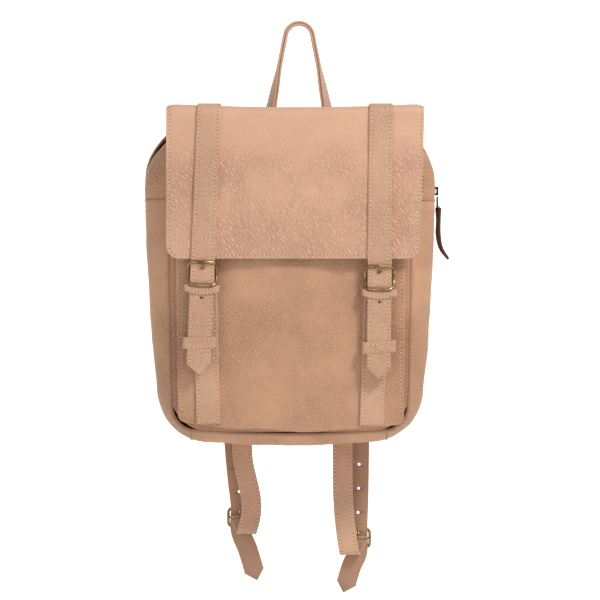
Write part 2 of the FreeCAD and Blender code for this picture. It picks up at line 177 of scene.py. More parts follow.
wall_verts = [v for v in wall["geom"] if isinstance(v, bmesh.types.BMVert)]
bmesh.ops.translate(sweep_mesh, verts=wall_verts, vec=(0, 0, SWEEP_RISE))
sweep_data = bpy.data.meshes.new("paper_sweep")
sweep_mesh.to_mesh(sweep_data)
sweep_mesh.free()
sweep_data.materials.append(paper)
paper_sweep = bpy.data.objects.new("paper_sweep", sweep_data)
bpy.context.scene.collection.objects.link(paper_sweep)

world = bpy.data.worlds.new("white_room")
world.use_nodes = True
world.node_tree.nodes["Background"].inputs["Color"].default_value = hex_colour("ffffff")
world.node_tree.nodes["Background"].inputs["Strength"].default_value = 0.46
bpy.context.scene.world = world


def soft_light(name, place, target, size, power):
    """Square area light at place, facing target."""
    data = bpy.data.lights.new(name, "AREA")
    data.size = size
    data.energy = power
    light = bpy.data.objects.new(name, data)
    light.location = place
    light.rotation_euler = (Vector(target) - Vector(place)).to_track_quat("-Z", "Y").to_euler()
    bpy.context.scene.collection.objects.link(light)


MIDDLE = (0, -0.05, -0.28)
soft_light("key_light", (0.9, -1.1, 0.98), MIDDLE, 0.36, 18.5)
soft_light("fill_light", (-1.8, -1.6, 0.1), MIDDLE, 1.6, 5)

# The lens is long, so the hanging bag is seen without perspective, square from the front.
VIEW_WIDTH, VIEW_DISTANCE, SENSOR = 0.627, 8.0, 36.0
camera_data = bpy.data.cameras.new("camera")
camera_data.sensor_width = SENSOR
camera_data.lens = SENSOR * VIEW_DISTANCE / VIEW_WIDTH
camera = bpy.data.objects.new("camera", camera_data)
front_face_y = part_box("flap_front")[0][1]
camera.location = (0.001, front_face_y - VIEW_DISTANCE, -0.279)
camera.rotation_euler = (math.radians(90), 0, 0)
bpy.context.scene.collection.objects.link(camera)
bpy.context.scene.camera = camera
bpy.context.scene.view_settings.view_transform = "Standard"

# ---- flap --------------------------------------------------------------------------------
# One sheet of milled cowhide, 2.5 mm thick, sewn low on the back, folded over the top and
# hanging down the front. Tumbling gave it a fine wrinkled grain, and the cut edge is pale.

EDGE_ROW = 3.3             # stitch row to cut edge, mm
GRAIN_SPACING = 2.3        # between wrinkles of the grain, mm


def grain_height(tree, place, spacing, turn, stretch):
    """Wrinkled leather grain: warped, stretched cells. Returns groove and pore heights."""
    drift = add_node(tree, "TexNoise", {"Vector": place, "Scale": 26.0, "Detail": 2.0})
    centred = add_node(tree, "VectorMath", {0: drift.outputs["Color"], 1: (0.5, 0.5, 0.5)},
                       operation="SUBTRACT")
    push = add_node(tree, "VectorMath", {0: centred.outputs[0], "Scale": 0.011},
                    operation="SCALE")
    moved = add_node(tree, "VectorMath", {0: place, 1: push.outputs[0]}, operation="ADD")
    turned = add_node(tree, "Mapping", {"Vector": moved.outputs[0],
                                        "Rotation": (0, math.radians(turn), 0)})
    drawn = add_node(tree, "Mapping", {"Vector": turned.outputs[0], "Scale": (1.0, 1.0, stretch)})
    cells = add_node(tree, "TexVoronoi", {"Vector": drawn.outputs[0], "Scale": 1 / (spacing * MM)},
                     feature="DISTANCE_TO_EDGE")
    groove = add_node(tree, "MapRange", {0: cells.outputs["Distance"], 1: 0.0, 2: 0.34},
                      interpolation_type="SMOOTHSTEP")
    pores = add_node(tree, "TexNoise", {"Vector": drawn.outputs[0], "Scale": 900.0,
                                        "Detail": 3.0, "Roughness": 0.6})
    return groove.outputs[0], pores.outputs["Fac"]


def milled_leather(name, colour, depth, spacing=GRAIN_SPACING, turn=38.0, stretch=0.42,
                   calm_top=None, roughness=0.52):
    """Milled full-grain cowhide: satin, softly mottled, with painted shade down in its wrinkles.

    calm_top is the height, in metres, above which the hide is stretched almost smooth."""
    material, tree, shader, place = new_material(name)
    groove, pores = grain_height(tree, place, spacing, turn, stretch)
    patches = add_node(tree, "TexNoise", {"Vector": place, "Scale": 15.0, "Detail": 3.0})
    strength = add_node(tree, "MapRange", {0: patches.outputs["Fac"], 1: 0.34, 2: 0.62,
                                           3: 0.25, 4: 1.0}).outputs[0]
    if calm_top is not None:
        axes = add_node(tree, "SeparateXYZ", {0: place})
        calm = add_node(tree, "MapRange", {0: axes.outputs["Z"], 1: calm_top - 0.035,
                                           2: calm_top + 0.012, 3: 1.0, 4: 0.12},
                        interpolation_type="SMOOTHSTEP")
        strength = maths(tree, "MULTIPLY", strength, calm.outputs[0])
    raised = maths(tree, "MULTIPLY", groove, strength)
    fine = maths(tree, "MULTIPLY", pores, 0.22)
    add_bump(tree, shader, maths(tree, "ADD", raised, fine), 0.55, depth)
    base = hex_colour(colour)
    # deep is a painted shade colour for the grain's grooves; light is a random lighter tone.
    deep = tuple(c * k for c, k in zip(base[:3], (0.70, 0.62, 0.58))) + (1.0,)
    light = tuple(min(1.0, c * 1.09) for c in base[:3]) + (1.0,)
    blotch = add_node(tree, "TexNoise", {"Vector": place, "Scale": 42.0, "Detail": 4.0,
                                         "Roughness": 0.55})
    tone = add_node(tree, "MapRange", {0: blotch.outputs["Fac"], 1: 0.3, 2: 0.72})
    flat = add_node(tree, "Mix", {0: tone.outputs[0], 6: base, 7: light}, data_type="RGBA")
    # Painted shade: the colour darkens towards deep down in the grooves, where shade would fall.
    shade = maths(tree, "MULTIPLY", maths(tree, "SUBTRACT", 1.0, groove), strength)
    two_tone(tree, shader, maths(tree, "MULTIPLY", shade, 0.75), flat.outputs[2], deep)
    sheen = add_node(tree, "MapRange", {0: pores, 3: roughness - 0.06, 4: roughness + 0.1})
    tree.links.new(sheen.outputs[0], shader.inputs["Roughness"])
    shader.inputs["IOR"].default_value = 1.46
    return material


def bare_hide(name, colour, grain, detail, dark, strength, depth, roughness, sheen=0.0):
    """Hide without its grain, as on a cut edge or the flesh side: matt, and flecked darker."""
    material, tree, shader, place = new_material(name)
    fibres = add_node(tree, "TexNoise", {"Vector": place, "Scale": grain, "Detail": detail})
    base = hex_colour(colour)
    deep = tuple(c * dark for c in base[:3]) + (1.0,)
    two_tone(tree, shader, fibres.outputs["Fac"], deep, base)
    add_bump(tree, shader, fibres.outputs["Fac"], strength, depth)
    shader.inputs["Roughness"].default_value = roughness
    shader.inputs["Sheen Weight"].default_value = sheen
    return material


CUT_EDGE = (1200.0, 4.0, 0.72, 0.4, 0.2, 0.8)
SUEDE = (700.0, 5.0, 0.8, 0.35, 0.25, 0.9, 0.15)
flap_hide = milled_leather("flap_milled_hide", "d5a88b", 1.7, spacing=2.5, stretch=0.3,
                           calm_top=-0.112)
raw_edge = bare_hide("bare_cut_edge", "e3bb9c", *CUT_EDGE)
flesh_side = bare_hide("flesh_side_suede", "b98f74", *SUEDE)


def finish_piece(name, bm, materials, body=None, replaced=(), slot="bag_leather", smooth=True,
                 clean=True):
    """Turns a bmesh into an object that rides on a body, or on none if no body is given."""
    if clean:
        bmesh.ops.remove_doubles(bm, verts=bm.verts, dist=1e-6)
        bmesh.ops.recalc_face_normals(bm, faces=bm.faces)
    for face in bm.faces:
        face.smooth = smooth
    data = bpy.data.meshes.new(name)
    bm.to_mesh(data)
    bm.free()
    for material in materials:
        data.materials.append(material)
    piece = bpy.data.objects.new(name, data)
    bpy.context.scene.collection.objects.link(piece)
    if body:
        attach(piece, body)
    if replaced:
        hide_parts(*replaced)
    return piece


def apply_modifiers(piece):
    """Leaves the piece with the mesh that its modifiers make."""
    bpy.context.view_layer.update()
    shown = piece.evaluated_get(bpy.context.evaluated_depsgraph_get())
    data = bpy.data.meshes.new_from_object(shown)
    old = piece.data
    piece.modifiers.clear()
    piece.data = data
    data.name = piece.name
    bpy.data.meshes.remove(old)


def stops_along(start, end, step):
    """Positions from start to end, closer together beside each end where the seam lies."""
    near = [0.0, 0.7, 1.6, 2.5, EDGE_ROW, 4.1, 5.2, 7.5]
    length = end - start
    inner_start, inner_end = near[-1], length - near[-1]
    count = max(1, round((inner_end - inner_start) / step))
    inside = [inner_start + (inner_end - inner_start) * i / count for i in range(1, count)]
    rows = near + inside + [length - n for n in reversed(near)]
    return [start + row for row in rows]


def surface_grid(xs, ss, at, corner=0.0, last_only=True):
    """Sheet of faces through at(x, s) for each x of xs and s of ss, by a bmesh grid.

    corner rounds the corners at the far end of s, and at the near end too if asked."""
    bm = bmesh.new()
    bmesh.ops.create_grid(bm, x_segments=len(xs) - 1, y_segments=len(ss) - 1, size=0.5)
    middle = (xs[0] + xs[-1]) / 2
    for vert in bm.verts:
        column = round((vert.co.x + 0.5) * (len(xs) - 1))
        row = round((vert.co.y + 0.5) * (len(ss) - 1))
        x, s = xs[column], ss[row]
        if corner:
            x, s = round_corner(x, s, xs, ss, corner, middle, last_only)
        vert.co = at(x, s)
    return bm


def round_corner(x, s, xs, ss, corner, middle, last_only):
    """Moves a grid point near a square corner so that the outline turns on an arc."""
    side = 1 if x > middle else -1
    x_in = xs[-1] - corner if side > 0 else xs[0] + corner
    for end, way in ((ss[-1], 1), (ss[0], -1)):
        if way < 0 and last_only:
            continue
        s_in = end - corner * way
        a, b = (x - x_in) * side / corner, (s - s_in) * way / corner
        if a > 0 and b > 0:
            reach = max(a, b) / math.hypot(a, b)
            return x_in + side * a * reach * corner, s_in + way * b * reach * corner
    return x, s


def leather_sheet(name, bm, thickness, materials, bevel_free=None, facing=None, **facts):
    """Gives a surface its thickness inwards, with pale rounded cut edges.

    facing is the way that its outer side looks, for a sheet too flat to tell."""
    if facing:
        bmesh.ops.remove_doubles(bm, verts=bm.verts, dist=1e-6)
        bmesh.ops.recalc_face_normals(bm, faces=bm.faces)
        if sum(face.normal.dot(facing) for face in bm.faces) < 0:
            bmesh.ops.reverse_faces(bm, faces=bm.faces)
        facts["clean"] = False
    piece = finish_piece(name, bm, materials, **facts)
    thicken = piece.modifiers.new("thickness", "SOLIDIFY")
    thicken.thickness = thickness * MM
    thicken.offset = -1.0
    thicken.use_quality_normals = True
    thicken.material_offset = 2
    thicken.material_offset_rim = 1
    apply_modifiers(piece)
    rim = bmesh.new()
    rim.from_mesh(piece.data)
    corner_edges = [e for e in rim.edges if len(e.link_faces) == 2
                    and sum(face.material_index == 1 for face in e.link_faces) == 1
                    and not (bevel_free and bevel_free(e))]
    bmesh.ops.bevel(rim, geom=corner_edges, offset=0.55 * MM, segments=2, profile=0.5,
                    affect="EDGES", material=-1, clamp_overlap=True)
    for face in rim.faces:
        face.smooth = True
    rim.to_mesh(piece.data)
    rim.free()
    return piece


face_low = box_mm("flap_front")[0]
crown_low, crown_high = box_mm("flap_top")
root_low, root_high = box_mm("flap_root")
FLAP_THICK, FLAP_CORNER = 2.5, 14.0
FLAP_FRONT_Y = face_low.y
FLAP_TOP_Z = crown_high.z
FRONT_BEND, REAR_BEND = 9.0, 6.0
FLAP_MIDDLE_X = (crown_low.x + crown_high.x) / 2
FLAP_HALF = (crown_high.x - crown_low.x) / 2
BEND_RUN = FRONT_BEND * math.pi / 2
REAR_TURN = -(root_high.y - REAR_BEND - (FLAP_FRONT_Y + FRONT_BEND))
FACE_RUN = BEND_RUN + FLAP_TOP_Z - FRONT_BEND - face_low.z
ROOT_RUN = REAR_TURN - REAR_BEND * math.pi / 2 - (FLAP_TOP_Z - REAR_BEND - root_low.z)
CROWN_CUT = REAR_TURN / 2


def flap_profile(s):
    """Point (y, z) and outward normal of the flap's outer face, s mm from its front bend."""
    if s > BEND_RUN:
        return FLAP_FRONT_Y, FLAP_TOP_Z - FRONT_BEND - (s - BEND_RUN), -1.0, 0.0
    if s > 0:
        a = s / FRONT_BEND
        return (FLAP_FRONT_Y + FRONT_BEND - FRONT_BEND * math.sin(a),
                FLAP_TOP_Z - FRONT_BEND + FRONT_BEND * math.cos(a), -math.sin(a), math.cos(a))
    if s > REAR_TURN:
        return FLAP_FRONT_Y + FRONT_BEND - s, FLAP_TOP_Z, 0.0, 1.0
    a = min((REAR_TURN - s) / REAR_BEND, math.pi / 2)
    down = max(0.0, REAR_TURN - s - REAR_BEND * math.pi / 2)
    return (root_high.y - REAR_BEND + REAR_BEND * math.sin(a),
            FLAP_TOP_Z - REAR_BEND + REAR_BEND * math.cos(a) - down, math.sin(a), math.cos(a))


CREASE_LEAN, CREASE_LENGTH, CREASE_WAVE = 0.75, 60.0, 17.0


def soft_creases(x, s):
    """Shallow diagonal folds of worn hide, about -1 to 1."""
    along = (x + CREASE_LEAN * s) / CREASE_LENGTH
    across = (s - CREASE_LEAN * x) / CREASE_WAVE
    return noise.fractal(Vector((along, across, 3.7)), 0.9, 2.1, 3)


def flap_at(x, s, lift=0.0):
    """Point of the flap's outer face, in metres, raised by lift mm along its normal."""
    y, z, ny, nz = flap_profile(s)
    across = (x - FLAP_MIDDLE_X) / FLAP_HALF
    on_face = clamp(s / 60.0)
    fold = soft_creases(x, s) * (0.25 + 0.75 * on_face) * 0.5
    belly = 1.2 * (1 - across ** 2) * on_face + 0.4 * math.sin(x / 31.0) * on_face
    flare = 0.5 * max(0.0, (s - 110.0) / 55.0) ** 2
    out = fold + belly + flare + lift
    seam_x = min(x - crown_low.x, crown_high.x - x)
    seam = min(abs(seam_x), FACE_RUN - s)
    out -= 0.38 * math.exp(-((seam - EDGE_ROW) / 0.8) ** 2)
    sag = (-1.6 + 3.6 * across ** 2) * (1 - clamp((s - 10) / 60.0))
    sag -= 3.4 * math.exp(-max(0.0, seam_x) / 3.6) * (1 - clamp(s / 30.0))
    taper = 0.0
    if x > 80 and s > 0:
        taper = -5.5 * (s / FACE_RUN) ** 1.4 * (x - 80) / 51.0
    return Vector((x + taper, y + ny * out, z + nz * out + sag)) * MM


def no_bevel_at_cut(edge):
    middle = (edge.verts[0].co + edge.verts[1].co) / 2
    cut_y = (FLAP_FRONT_Y + FRONT_BEND - CROWN_CUT) * MM
    return abs(middle.y - cut_y) < 0.4 * MM and middle.z > (FLAP_TOP_Z - 12) * MM


flap_xs = stops_along(crown_low.x, crown_high.x, 3.4)
face_ss = ([CROWN_CUT * (1 - i / 12) for i in range(12)] + [BEND_RUN * i / 8 for i in range(8)]
           + [s for s in stops_along(BEND_RUN, FACE_RUN, 3.4) if s > BEND_RUN + 5.2]
           + [BEND_RUN, BEND_RUN + 2.6])
face_ss = sorted(set(round(s, 4) for s in face_ss))
crown_ss = ([ROOT_RUN + 3 * i for i in range(9)]
            + [REAR_TURN - REAR_BEND * math.pi / 2 * i / 6 for i in range(7)]
            + [REAR_TURN + (CROWN_CUT - REAR_TURN) * i / 12 for i in range(1, 13)])
crown_ss = sorted(set(round(s, 4) for s in crown_ss if s < REAR_TURN - 8 or s >= REAR_TURN - 9.5))

flap_materials = (flap_hide, raw_edge, flesh_side)
flap_face = leather_sheet("flap_face", surface_grid(flap_xs, face_ss, flap_at, corner=FLAP_CORNER),
                          FLAP_THICK, flap_materials, no_bevel_at_cut,
                          facing=FRONT_WAY, replaced=("flap_front",),
                          slot="flap_leather")
flap_crown = leather_sheet("flap_crown", surface_grid(flap_xs, crown_ss, flap_at),
                           FLAP_THICK, flap_materials, no_bevel_at_cut,
                           facing=Vector((0, 0, 1)), replaced=("flap_top", "flap_root"),
                           slot="flap_leather")
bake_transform(flap_face)
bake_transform(flap_crown)

# ---- stitching ---------------------------------------------------------------------------
# Every seam is lockstitched at four millimetres to the stitch in a thread of the leather's
# colour. Each stitch sinks at its ends into a needle hole, drawn as a small dark disc of
# painted shade for the shadow down in the hole.

STITCH = 4.0
THREAD_HALF, HOLE_RADIUS = 0.42, 0.62

thread, thread_tree, thread_shader, thread_place = new_material("bonded_polyester_thread")
thread_lay = add_node(thread_tree, "TexWave", {"Vector": thread_place, "Scale": 900.0,
                                               "Distortion": 2.0})
two_tone(thread_tree, thread_shader, thread_lay.outputs["Fac"], hex_colour("d9b294"),
         hex_colour("f0d6bd"))
thread_shader.inputs["Roughness"].default_value = 0.6
# The needle holes are flat dark discs: painted shade for the shadow inside each hole.
painted_hole_shade, hole_tree, hole_shader, hole_place = new_material("painted_hole_shade_in_leather")
hole_noise = add_node(hole_tree, "TexNoise", {"Vector": hole_place, "Scale": 300.0})
two_tone(hole_tree, hole_shader, hole_noise.outputs["Fac"], hex_colour("5a3a2a"),
         hex_colour("7c5540"))
hole_shader.inputs["Roughness"].default_value = 0.9


def evenly(points, step):
    """Walks a line of (place, normal) pairs: (place, tangent, normal) every step metres."""
    lengths = [0.0]
    for (a, _), (b, _) in zip(points, points[1:]):
        lengths.append(lengths[-1] + (b - a).length)
    count = max(2, round(lengths[-1] / step))
    out, k = [], 0
    for i in range(count):
        reach = lengths[-1] * (i + 0.5) / count
        while lengths[k + 1] < reach:
            k += 1
        (a, na), (b, nb) = points[k], points[k + 1]
        f = (reach - lengths[k]) / (lengths[k + 1] - lengths[k])
        out.append((a.lerp(b, f), (b - a).normalized(), na.lerp(nb, f).normalized()))
    return out, lengths[-1] / count


def add_stitch(bm, place, along, out, gap):
    """One stitch, a flattened capsule of thread, and at its end a dark disc of painted shade for
    the needle hole.
    """
    side = out.cross(along).normalized()
    turn = Matrix((side, along, side.cross(along))).transposed().to_4x4()
    thread_size = Matrix.Diagonal((THREAD_HALF * MM, gap * 0.40, 0.30 * MM, 1))
    bmesh.ops.create_uvsphere(bm, u_segments=6, v_segments=4, radius=1.0, matrix=turn_at(
        place + out * 0.1 * MM, turn) @ thread_size)
    sewn = len(bm.faces)
    hole_size = Matrix.Diagonal((HOLE_RADIUS * MM, HOLE_RADIUS * MM, 0.2 * MM, 1))
    spot = place + along * gap * 0.5 + out * 0.02 * MM
    bmesh.ops.create_uvsphere(bm, u_segments=6, v_segments=4, radius=1.0,
                              matrix=turn_at(spot, turn) @ hole_size)
    bm.faces.ensure_lookup_table()
    for face in bm.faces[sewn:]:
        face.material_index = 1


def turn_at(place, turn):
    return Matrix.Translation(place) @ turn


def in_batches(items, size, add):
    """One mesh of what add(batch, *item) draws for each item; small batches are quick."""
    whole = bmesh.new()
    batch_mesh = bpy.data.meshes.new("batch")
    for start in range(0, len(items), size):
        batch = bmesh.new()
        for item in items[start:start + size]:
            add(batch, *item)
        batch.to_mesh(batch_mesh)
        batch.free()
        whole.from_mesh(batch_mesh)
    bpy.data.meshes.remove(batch_mesh)
    return whole


def stitches(name, rows, body=None, pitch=STITCH):
    """One piece of thread and needle holes for rows of (place, normal) pairs."""
    sewn = []
    for row in rows:
        spots, gap = evenly(row, pitch * MM)
        sewn += [(*spot, gap) for spot in spots]
    return finish_piece(name, in_batches(sewn, 8, add_stitch), (thread, painted_hole_shade), body=body,
                        clean=False)


def surface_row(at, places):
    """Line of (place, normal) pairs over a surface function, at (x, s) places."""
    row = []
    for x, s in places:
        here = at(x, s)
        out = (at(x + 0.5, s) - here).cross(at(x, s - 0.5) - here).normalized()
        row.append((here, out))
    return row


def flap_edge_x(side):
    return crown_low.x + EDGE_ROW if side < 0 else crown_high.x - EDGE_ROW


def hem_border(left, right, start, low, turn, downs, bends, across):
    """Line of (x, s) down a left edge from start, round and along a hem, and up the right."""
    down = [(left, start + (low - turn - start) * i / downs) for i in range(downs + 1)]
    down += [(left + turn * (1 - math.cos(a)), low - turn + turn * math.sin(a))
             for a in [math.pi / 2 * i / bends for i in range(1, bends + 1)]]
    hem = [(left + turn + (right - left - 2 * turn) * i / across, low) for i in range(1, across)]
    return down + hem + [(left + right - x, s) for x, s in reversed(down)]


face_seam = hem_border(flap_edge_x(-1), flap_edge_x(1), CROWN_CUT, FACE_RUN - EDGE_ROW,
                       FLAP_CORNER - EDGE_ROW, 70, 8, 60)
face_thread = stitches("flap_face_stitches", [surface_row(flap_at, face_seam)])
crown_rows = []
for side in (-1, 1):
    run = [(flap_edge_x(side), ROOT_RUN + 3 + (CROWN_CUT - ROOT_RUN - 3) * i / 60)
           for i in range(61)]
    crown_rows.append(surface_row(flap_at, run))
for inset in (5.0, 13.0):
    run = [(crown_low.x + 6 + (2 * FLAP_HALF - 12) * i / 60, ROOT_RUN + inset) for i in range(61)]
    crown_rows.append(surface_row(flap_at, run))
crown_thread = stitches("flap_crown_stitches", crown_rows)
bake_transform(face_thread)
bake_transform(crown_thread)

# ---- flap straps -------------------------------------------------------------------------
# Two straps of 25 mm bridle leather run from the back seam over the crown, are sewn down
# the flap and hang free below it as pointed, punched ends.

STRAP_WIDTH, STRAP_THICK, STITCH_INSET = 25.0, 2.4, 3.0
TIP = 11.5                 # length of a strap's point, mm
CROSS_ROW = 21.5           # stitch row across a flap strap, above the flap's hem, mm
strap_hide = milled_leather("strap_milled_hide", "d3a88a", 0.7, spacing=1.9, turn=10.0,
                            stretch=0.7, roughness=0.5)
strap_materials = (strap_hide, raw_edge, flesh_side)


def strap_outline(width, thick, rows=True, crown=0.0):
    """Section of a strap, (across, out) in mm: rounded edges, and a dip at each stitch row."""
    half = width / 2
    right = [(half - 0.7, 0.0), (half - 0.1, 0.35), (half, thick * 0.5), (half - 0.15, thick - 0.4),
             (half - 0.8, thick)]
    if rows:
        right += [(half - 2.2, thick + crown * 0.3), (half - 3.0, thick - 0.3 + crown * 0.4),
                  (half - 3.9, thick + crown * 0.5)]
    right += [(half * 0.4, thick + crown)]
    return right + [(-u, n) for u, n in reversed(right)]


def frame_at(place, along, out, wide=1.0):
    """Matrix that puts a section, in mm, at a place with its outside facing out."""
    along = along.normalized()
    side = along.cross(out).normalized()
    out = side.cross(along)
    turn = Matrix((side * wide, out, along)).transposed() * MM
    matrix = turn.to_4x4()
    matrix.translation = place
    return matrix


def frames_along(points, wides=None):
    """Frames along (place, normal) pairs; wides narrows the section towards a tip."""
    frames = []
    for i, (place, out) in enumerate(points):
        ahead, behind = points[min(i + 1, len(points) - 1)][0], points[max(i - 1, 0)][0]
        frames.append(frame_at(place, ahead - behind, out, wides[i] if wides else 1.0))
    return frames


def sweep(bm, outline, frames, edge_from=None, cap=True):
    """Draws a closed section through frames. Faces past edge_from across are cut edges."""
    ring = [bm.verts.new(frames[0] @ Vector((u, n, 0))) for u, n in outline]
    edges = [bm.edges.new((ring[i - 1], ring[i])) for i in range(len(ring))]
    first = list(edges)
    for before, after in zip(frames, frames[1:]):
        grown = bmesh.ops.extrude_edge_only(bm, edges=edges)["geom"]
        verts = [g for g in grown if isinstance(g, bmesh.types.BMVert)]
        fresh = set(verts)
        edges = [g for g in grown if isinstance(g, bmesh.types.BMEdge)
                 and g.verts[0] in fresh and g.verts[1] in fresh]
        if edge_from is not None:
            back = before.inverted()
            for edge in edges:
                middle = back @ ((edge.verts[0].co + edge.verts[1].co) / 2)
                kind = 1 if abs(middle.x) > edge_from else (2 if middle.y < 0.1 else 0)
                for face in edge.link_faces:
                    face.material_index = kind
        bmesh.ops.transform(bm, matrix=after @ before.inverted(), verts=verts)
    if cap:
        capped = bmesh.ops.holes_fill(bm, edges=first + edges)["faces"]
        for face in capped:
            face.material_index = 1 if edge_from is not None else 0
    return bm


def tip_shape(count, length, point):
    """Width factors and distances of a strap's pointed tip, from shoulders to point."""
    steps = [i / count for i in range(1, count + 1)]
    return [(length * f, 1 - (1 - point) * f) for f in steps]


def strap_mesh(frames, width, thick=STRAP_THICK, edge=0.45, **outline):
    """A strap's section drawn through frames; edge is how far in its cut edge starts."""
    return sweep(bmesh.new(), strap_outline(width, thick, **outline), frames,
                 edge_from=width / 2 - edge)


def edge_rows(line):
    """Stitch rows along both edges of a strap on a line."""
    lift = STRAP_THICK - 0.25
    return [[(frame @ Vector((side * (STRAP_WIDTH / 2 - STITCH_INSET), lift, 0)), out)
             for frame, (_, out) in zip(frames_along(line), line)] for side in (-1, 1)]


LEAN = {"left": 2.34, "right": 0.54}   # of each flap strap, in degrees
BAR_BEHIND = 2.3           # the buckle's centre bar lies this far behind the strap, mm
billets = {}
for side, lean in LEAN.items():
    low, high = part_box("flap_strap_" + side)
    crown_x = sum(c.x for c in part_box("crown_strap_" + side)) / 2 / MM
    slope = -math.tan(math.radians(lean))
    tip_z = low.z / MM

    def strap_x(z):
        return crown_x - slope * (z - FLAP_TOP_Z)

    face_line = []
    for s in [CROWN_CUT * (1 - i / 8) for i in range(8)] + [BEND_RUN * i / 6 for i in range(6)]:
        here = flap_at(crown_x, s)
        face_line.append((here, Vector((0, *flap_profile(s)[2:]))))
    for i in range(37):
        s = BEND_RUN + (FACE_RUN - BEND_RUN) * i / 36
        z = FLAP_TOP_Z - FRONT_BEND - (s - BEND_RUN)
        face_line.append((flap_at(strap_x(z), s), FRONT_WAY))
    rest_y, start_z = low.y / MM + STRAP_THICK, face_low.z - 3
    shoulder_z = tip_z + TIP
    for i in range(25):
        f = i / 24
        z = start_z + (shoulder_z - start_z) * f
        y = rest_y - 0.8 * (1 - f) ** 3 - 1.8 * f ** 3 - 0.25 * math.sin(f * 9.0)
        face_line.append((Vector((strap_x(z), y, z)) * MM, FRONT_WAY))
    wides = [1.0] * len(face_line)
    last = face_line[-1][0]
    for reach, wide in tip_shape(7, TIP, 0.05):
        place = last + Vector((slope * reach * -MM, -0.03 * reach * MM, -reach * MM))
        face_line.append((place, FRONT_WAY))
        wides.append(wide)
    bm = strap_mesh(frames_along(face_line, wides), STRAP_WIDTH)
    billet = finish_piece("flap_strap_" + side + "_leather", bm, strap_materials,
                          replaced=("flap_strap_" + side,))
    billets[side] = billet

    crown_line = [(flap_at(crown_x, s), Vector((0, *flap_profile(s)[2:])))
                  for s in [ROOT_RUN + 1 + (REAR_TURN - 12 - ROOT_RUN) * i / 5 for i in range(5)]
                  + [REAR_TURN - REAR_BEND * math.pi / 2 * (1 - i / 6) for i in range(7)]
                  + [REAR_TURN + (CROWN_CUT - REAR_TURN) * i / 8 for i in range(1, 9)]]
    bm = strap_mesh(frames_along(crown_line), STRAP_WIDTH)
    crown_strap = finish_piece("crown_strap_" + side + "_leather", bm, strap_materials,
                               replaced=("crown_strap_" + side,))

    body_rows = edge_rows(face_line[:-7])
    hem_z = face_low.z + CROSS_ROW
    cross = []
    for i in range(9):
        u = -9.0 + 18.0 * i / 8
        z = hem_z - u * math.sin(math.radians(lean))
        s = BEND_RUN + FLAP_TOP_Z - FRONT_BEND - z
        cross.append((flap_at(strap_x(z) + u, s, STRAP_THICK - 0.1), FRONT_WAY))
    body_rows.append(cross)
    face_sewn = stitches("flap_strap_" + side + "_stitches", body_rows)
    crown_sewn = stitches("crown_strap_" + side + "_stitches", edge_rows(crown_line))
    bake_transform(face_sewn)
    for piece in (crown_strap, crown_sewn):
        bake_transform(piece)

# ---- buckles -----------------------------------------------------------------------------
# Centre-bar buckles in cast brass with an antique finish: a bowed frame of round wire with
# a roller on its upper bar, and a tongue that turns on the hidden centre bar.

WIRE_RADIUS, ROLLER_RADIUS, TONGUE_RADIUS = 1.5, 1.9, 0.95
FRAME_LOW, FRAME_HIGH, FRAME_CORNER, FRAME_BOW = -12.1, 11.6, 4.8, 6.8
EYE_RADIUS = 1.75          # of the tongue's eye round the centre bar


def antique_brass(name, worn, patina):
    """Antiqued cast brass: worn bright and brown-black with patina in random patches."""
    material, tree, shader, place = new_material(name)
    stain = add_node(tree, "TexNoise", {"Vector": place, "Scale": 160.0, "Detail": 4.0,
                                        "Roughness": 0.65})
    cover = add_node(tree, "MapRange", {0: stain.outputs["Fac"], 1: 0.42, 2: 0.72})
    two_tone(tree, shader, cover.outputs[0], hex_colour(worn), hex_colour(patina))
    shader.inputs["Metallic"].default_value = 1.0
    gloss = add_node(tree, "MapRange", {0: stain.outputs["Fac"], 1: 0.3, 2: 0.7, 3: 0.22, 4: 0.48})
    tree.links.new(gloss.outputs[0], shader.inputs["Roughness"])
    dents = add_node(tree, "TexNoise", {"Vector": place, "Scale": 420.0, "Detail": 2.0})
    add_bump(tree, shader, dents.outputs["Fac"], 0.25, 0.15)
    return material


brass = antique_brass("antique_brass", "bb9a6c", "4f3922")


def circle_outline(radius, count=12):
    return [(radius * math.cos(2 * math.pi * i / count), radius * math.sin(2 * math.pi * i / count))
            for i in range(count)]


def wire(bm, points, radius, closed=False, out=FRONT_WAY, tips=False):
    """Round wire through points in mm; closed joins its ends, tips rounds them off."""
    path = [Vector(p) * MM for p in points]
    count = len(path)
    frames = []
    for i, place in enumerate(path):
        ahead = path[(i + 1) % count] if closed else path[min(i + 1, count - 1)]
        behind = path[i - 1] if closed else path[max(i - 1, 0)]
        frames.append(frame_at(place, ahead - behind, out))
    if closed:
        frames.append(frames[0])
    elif tips:
        dome = [(math.cos(a), math.sin(a)) for a in (math.radians(d) for d in (80, 60, 35))]
        first, last = frames[0], frames[-1]
        lead = (path[0] - path[1]).normalized() * radius * MM
        trail = (path[-1] - path[-2]).normalized() * radius * MM
        start_cap = [Matrix.Translation(lead * up) @ first @ Matrix.Diagonal((c, c, 1, 1))
                     for c, up in dome]
        end_cap = [Matrix.Translation(trail * up) @ last @ Matrix.Diagonal((c, c, 1, 1))
                   for c, up in reversed(dome)]
        frames = start_cap + frames + end_cap
    return sweep(bm, circle_outline(radius), frames, cap=not closed)


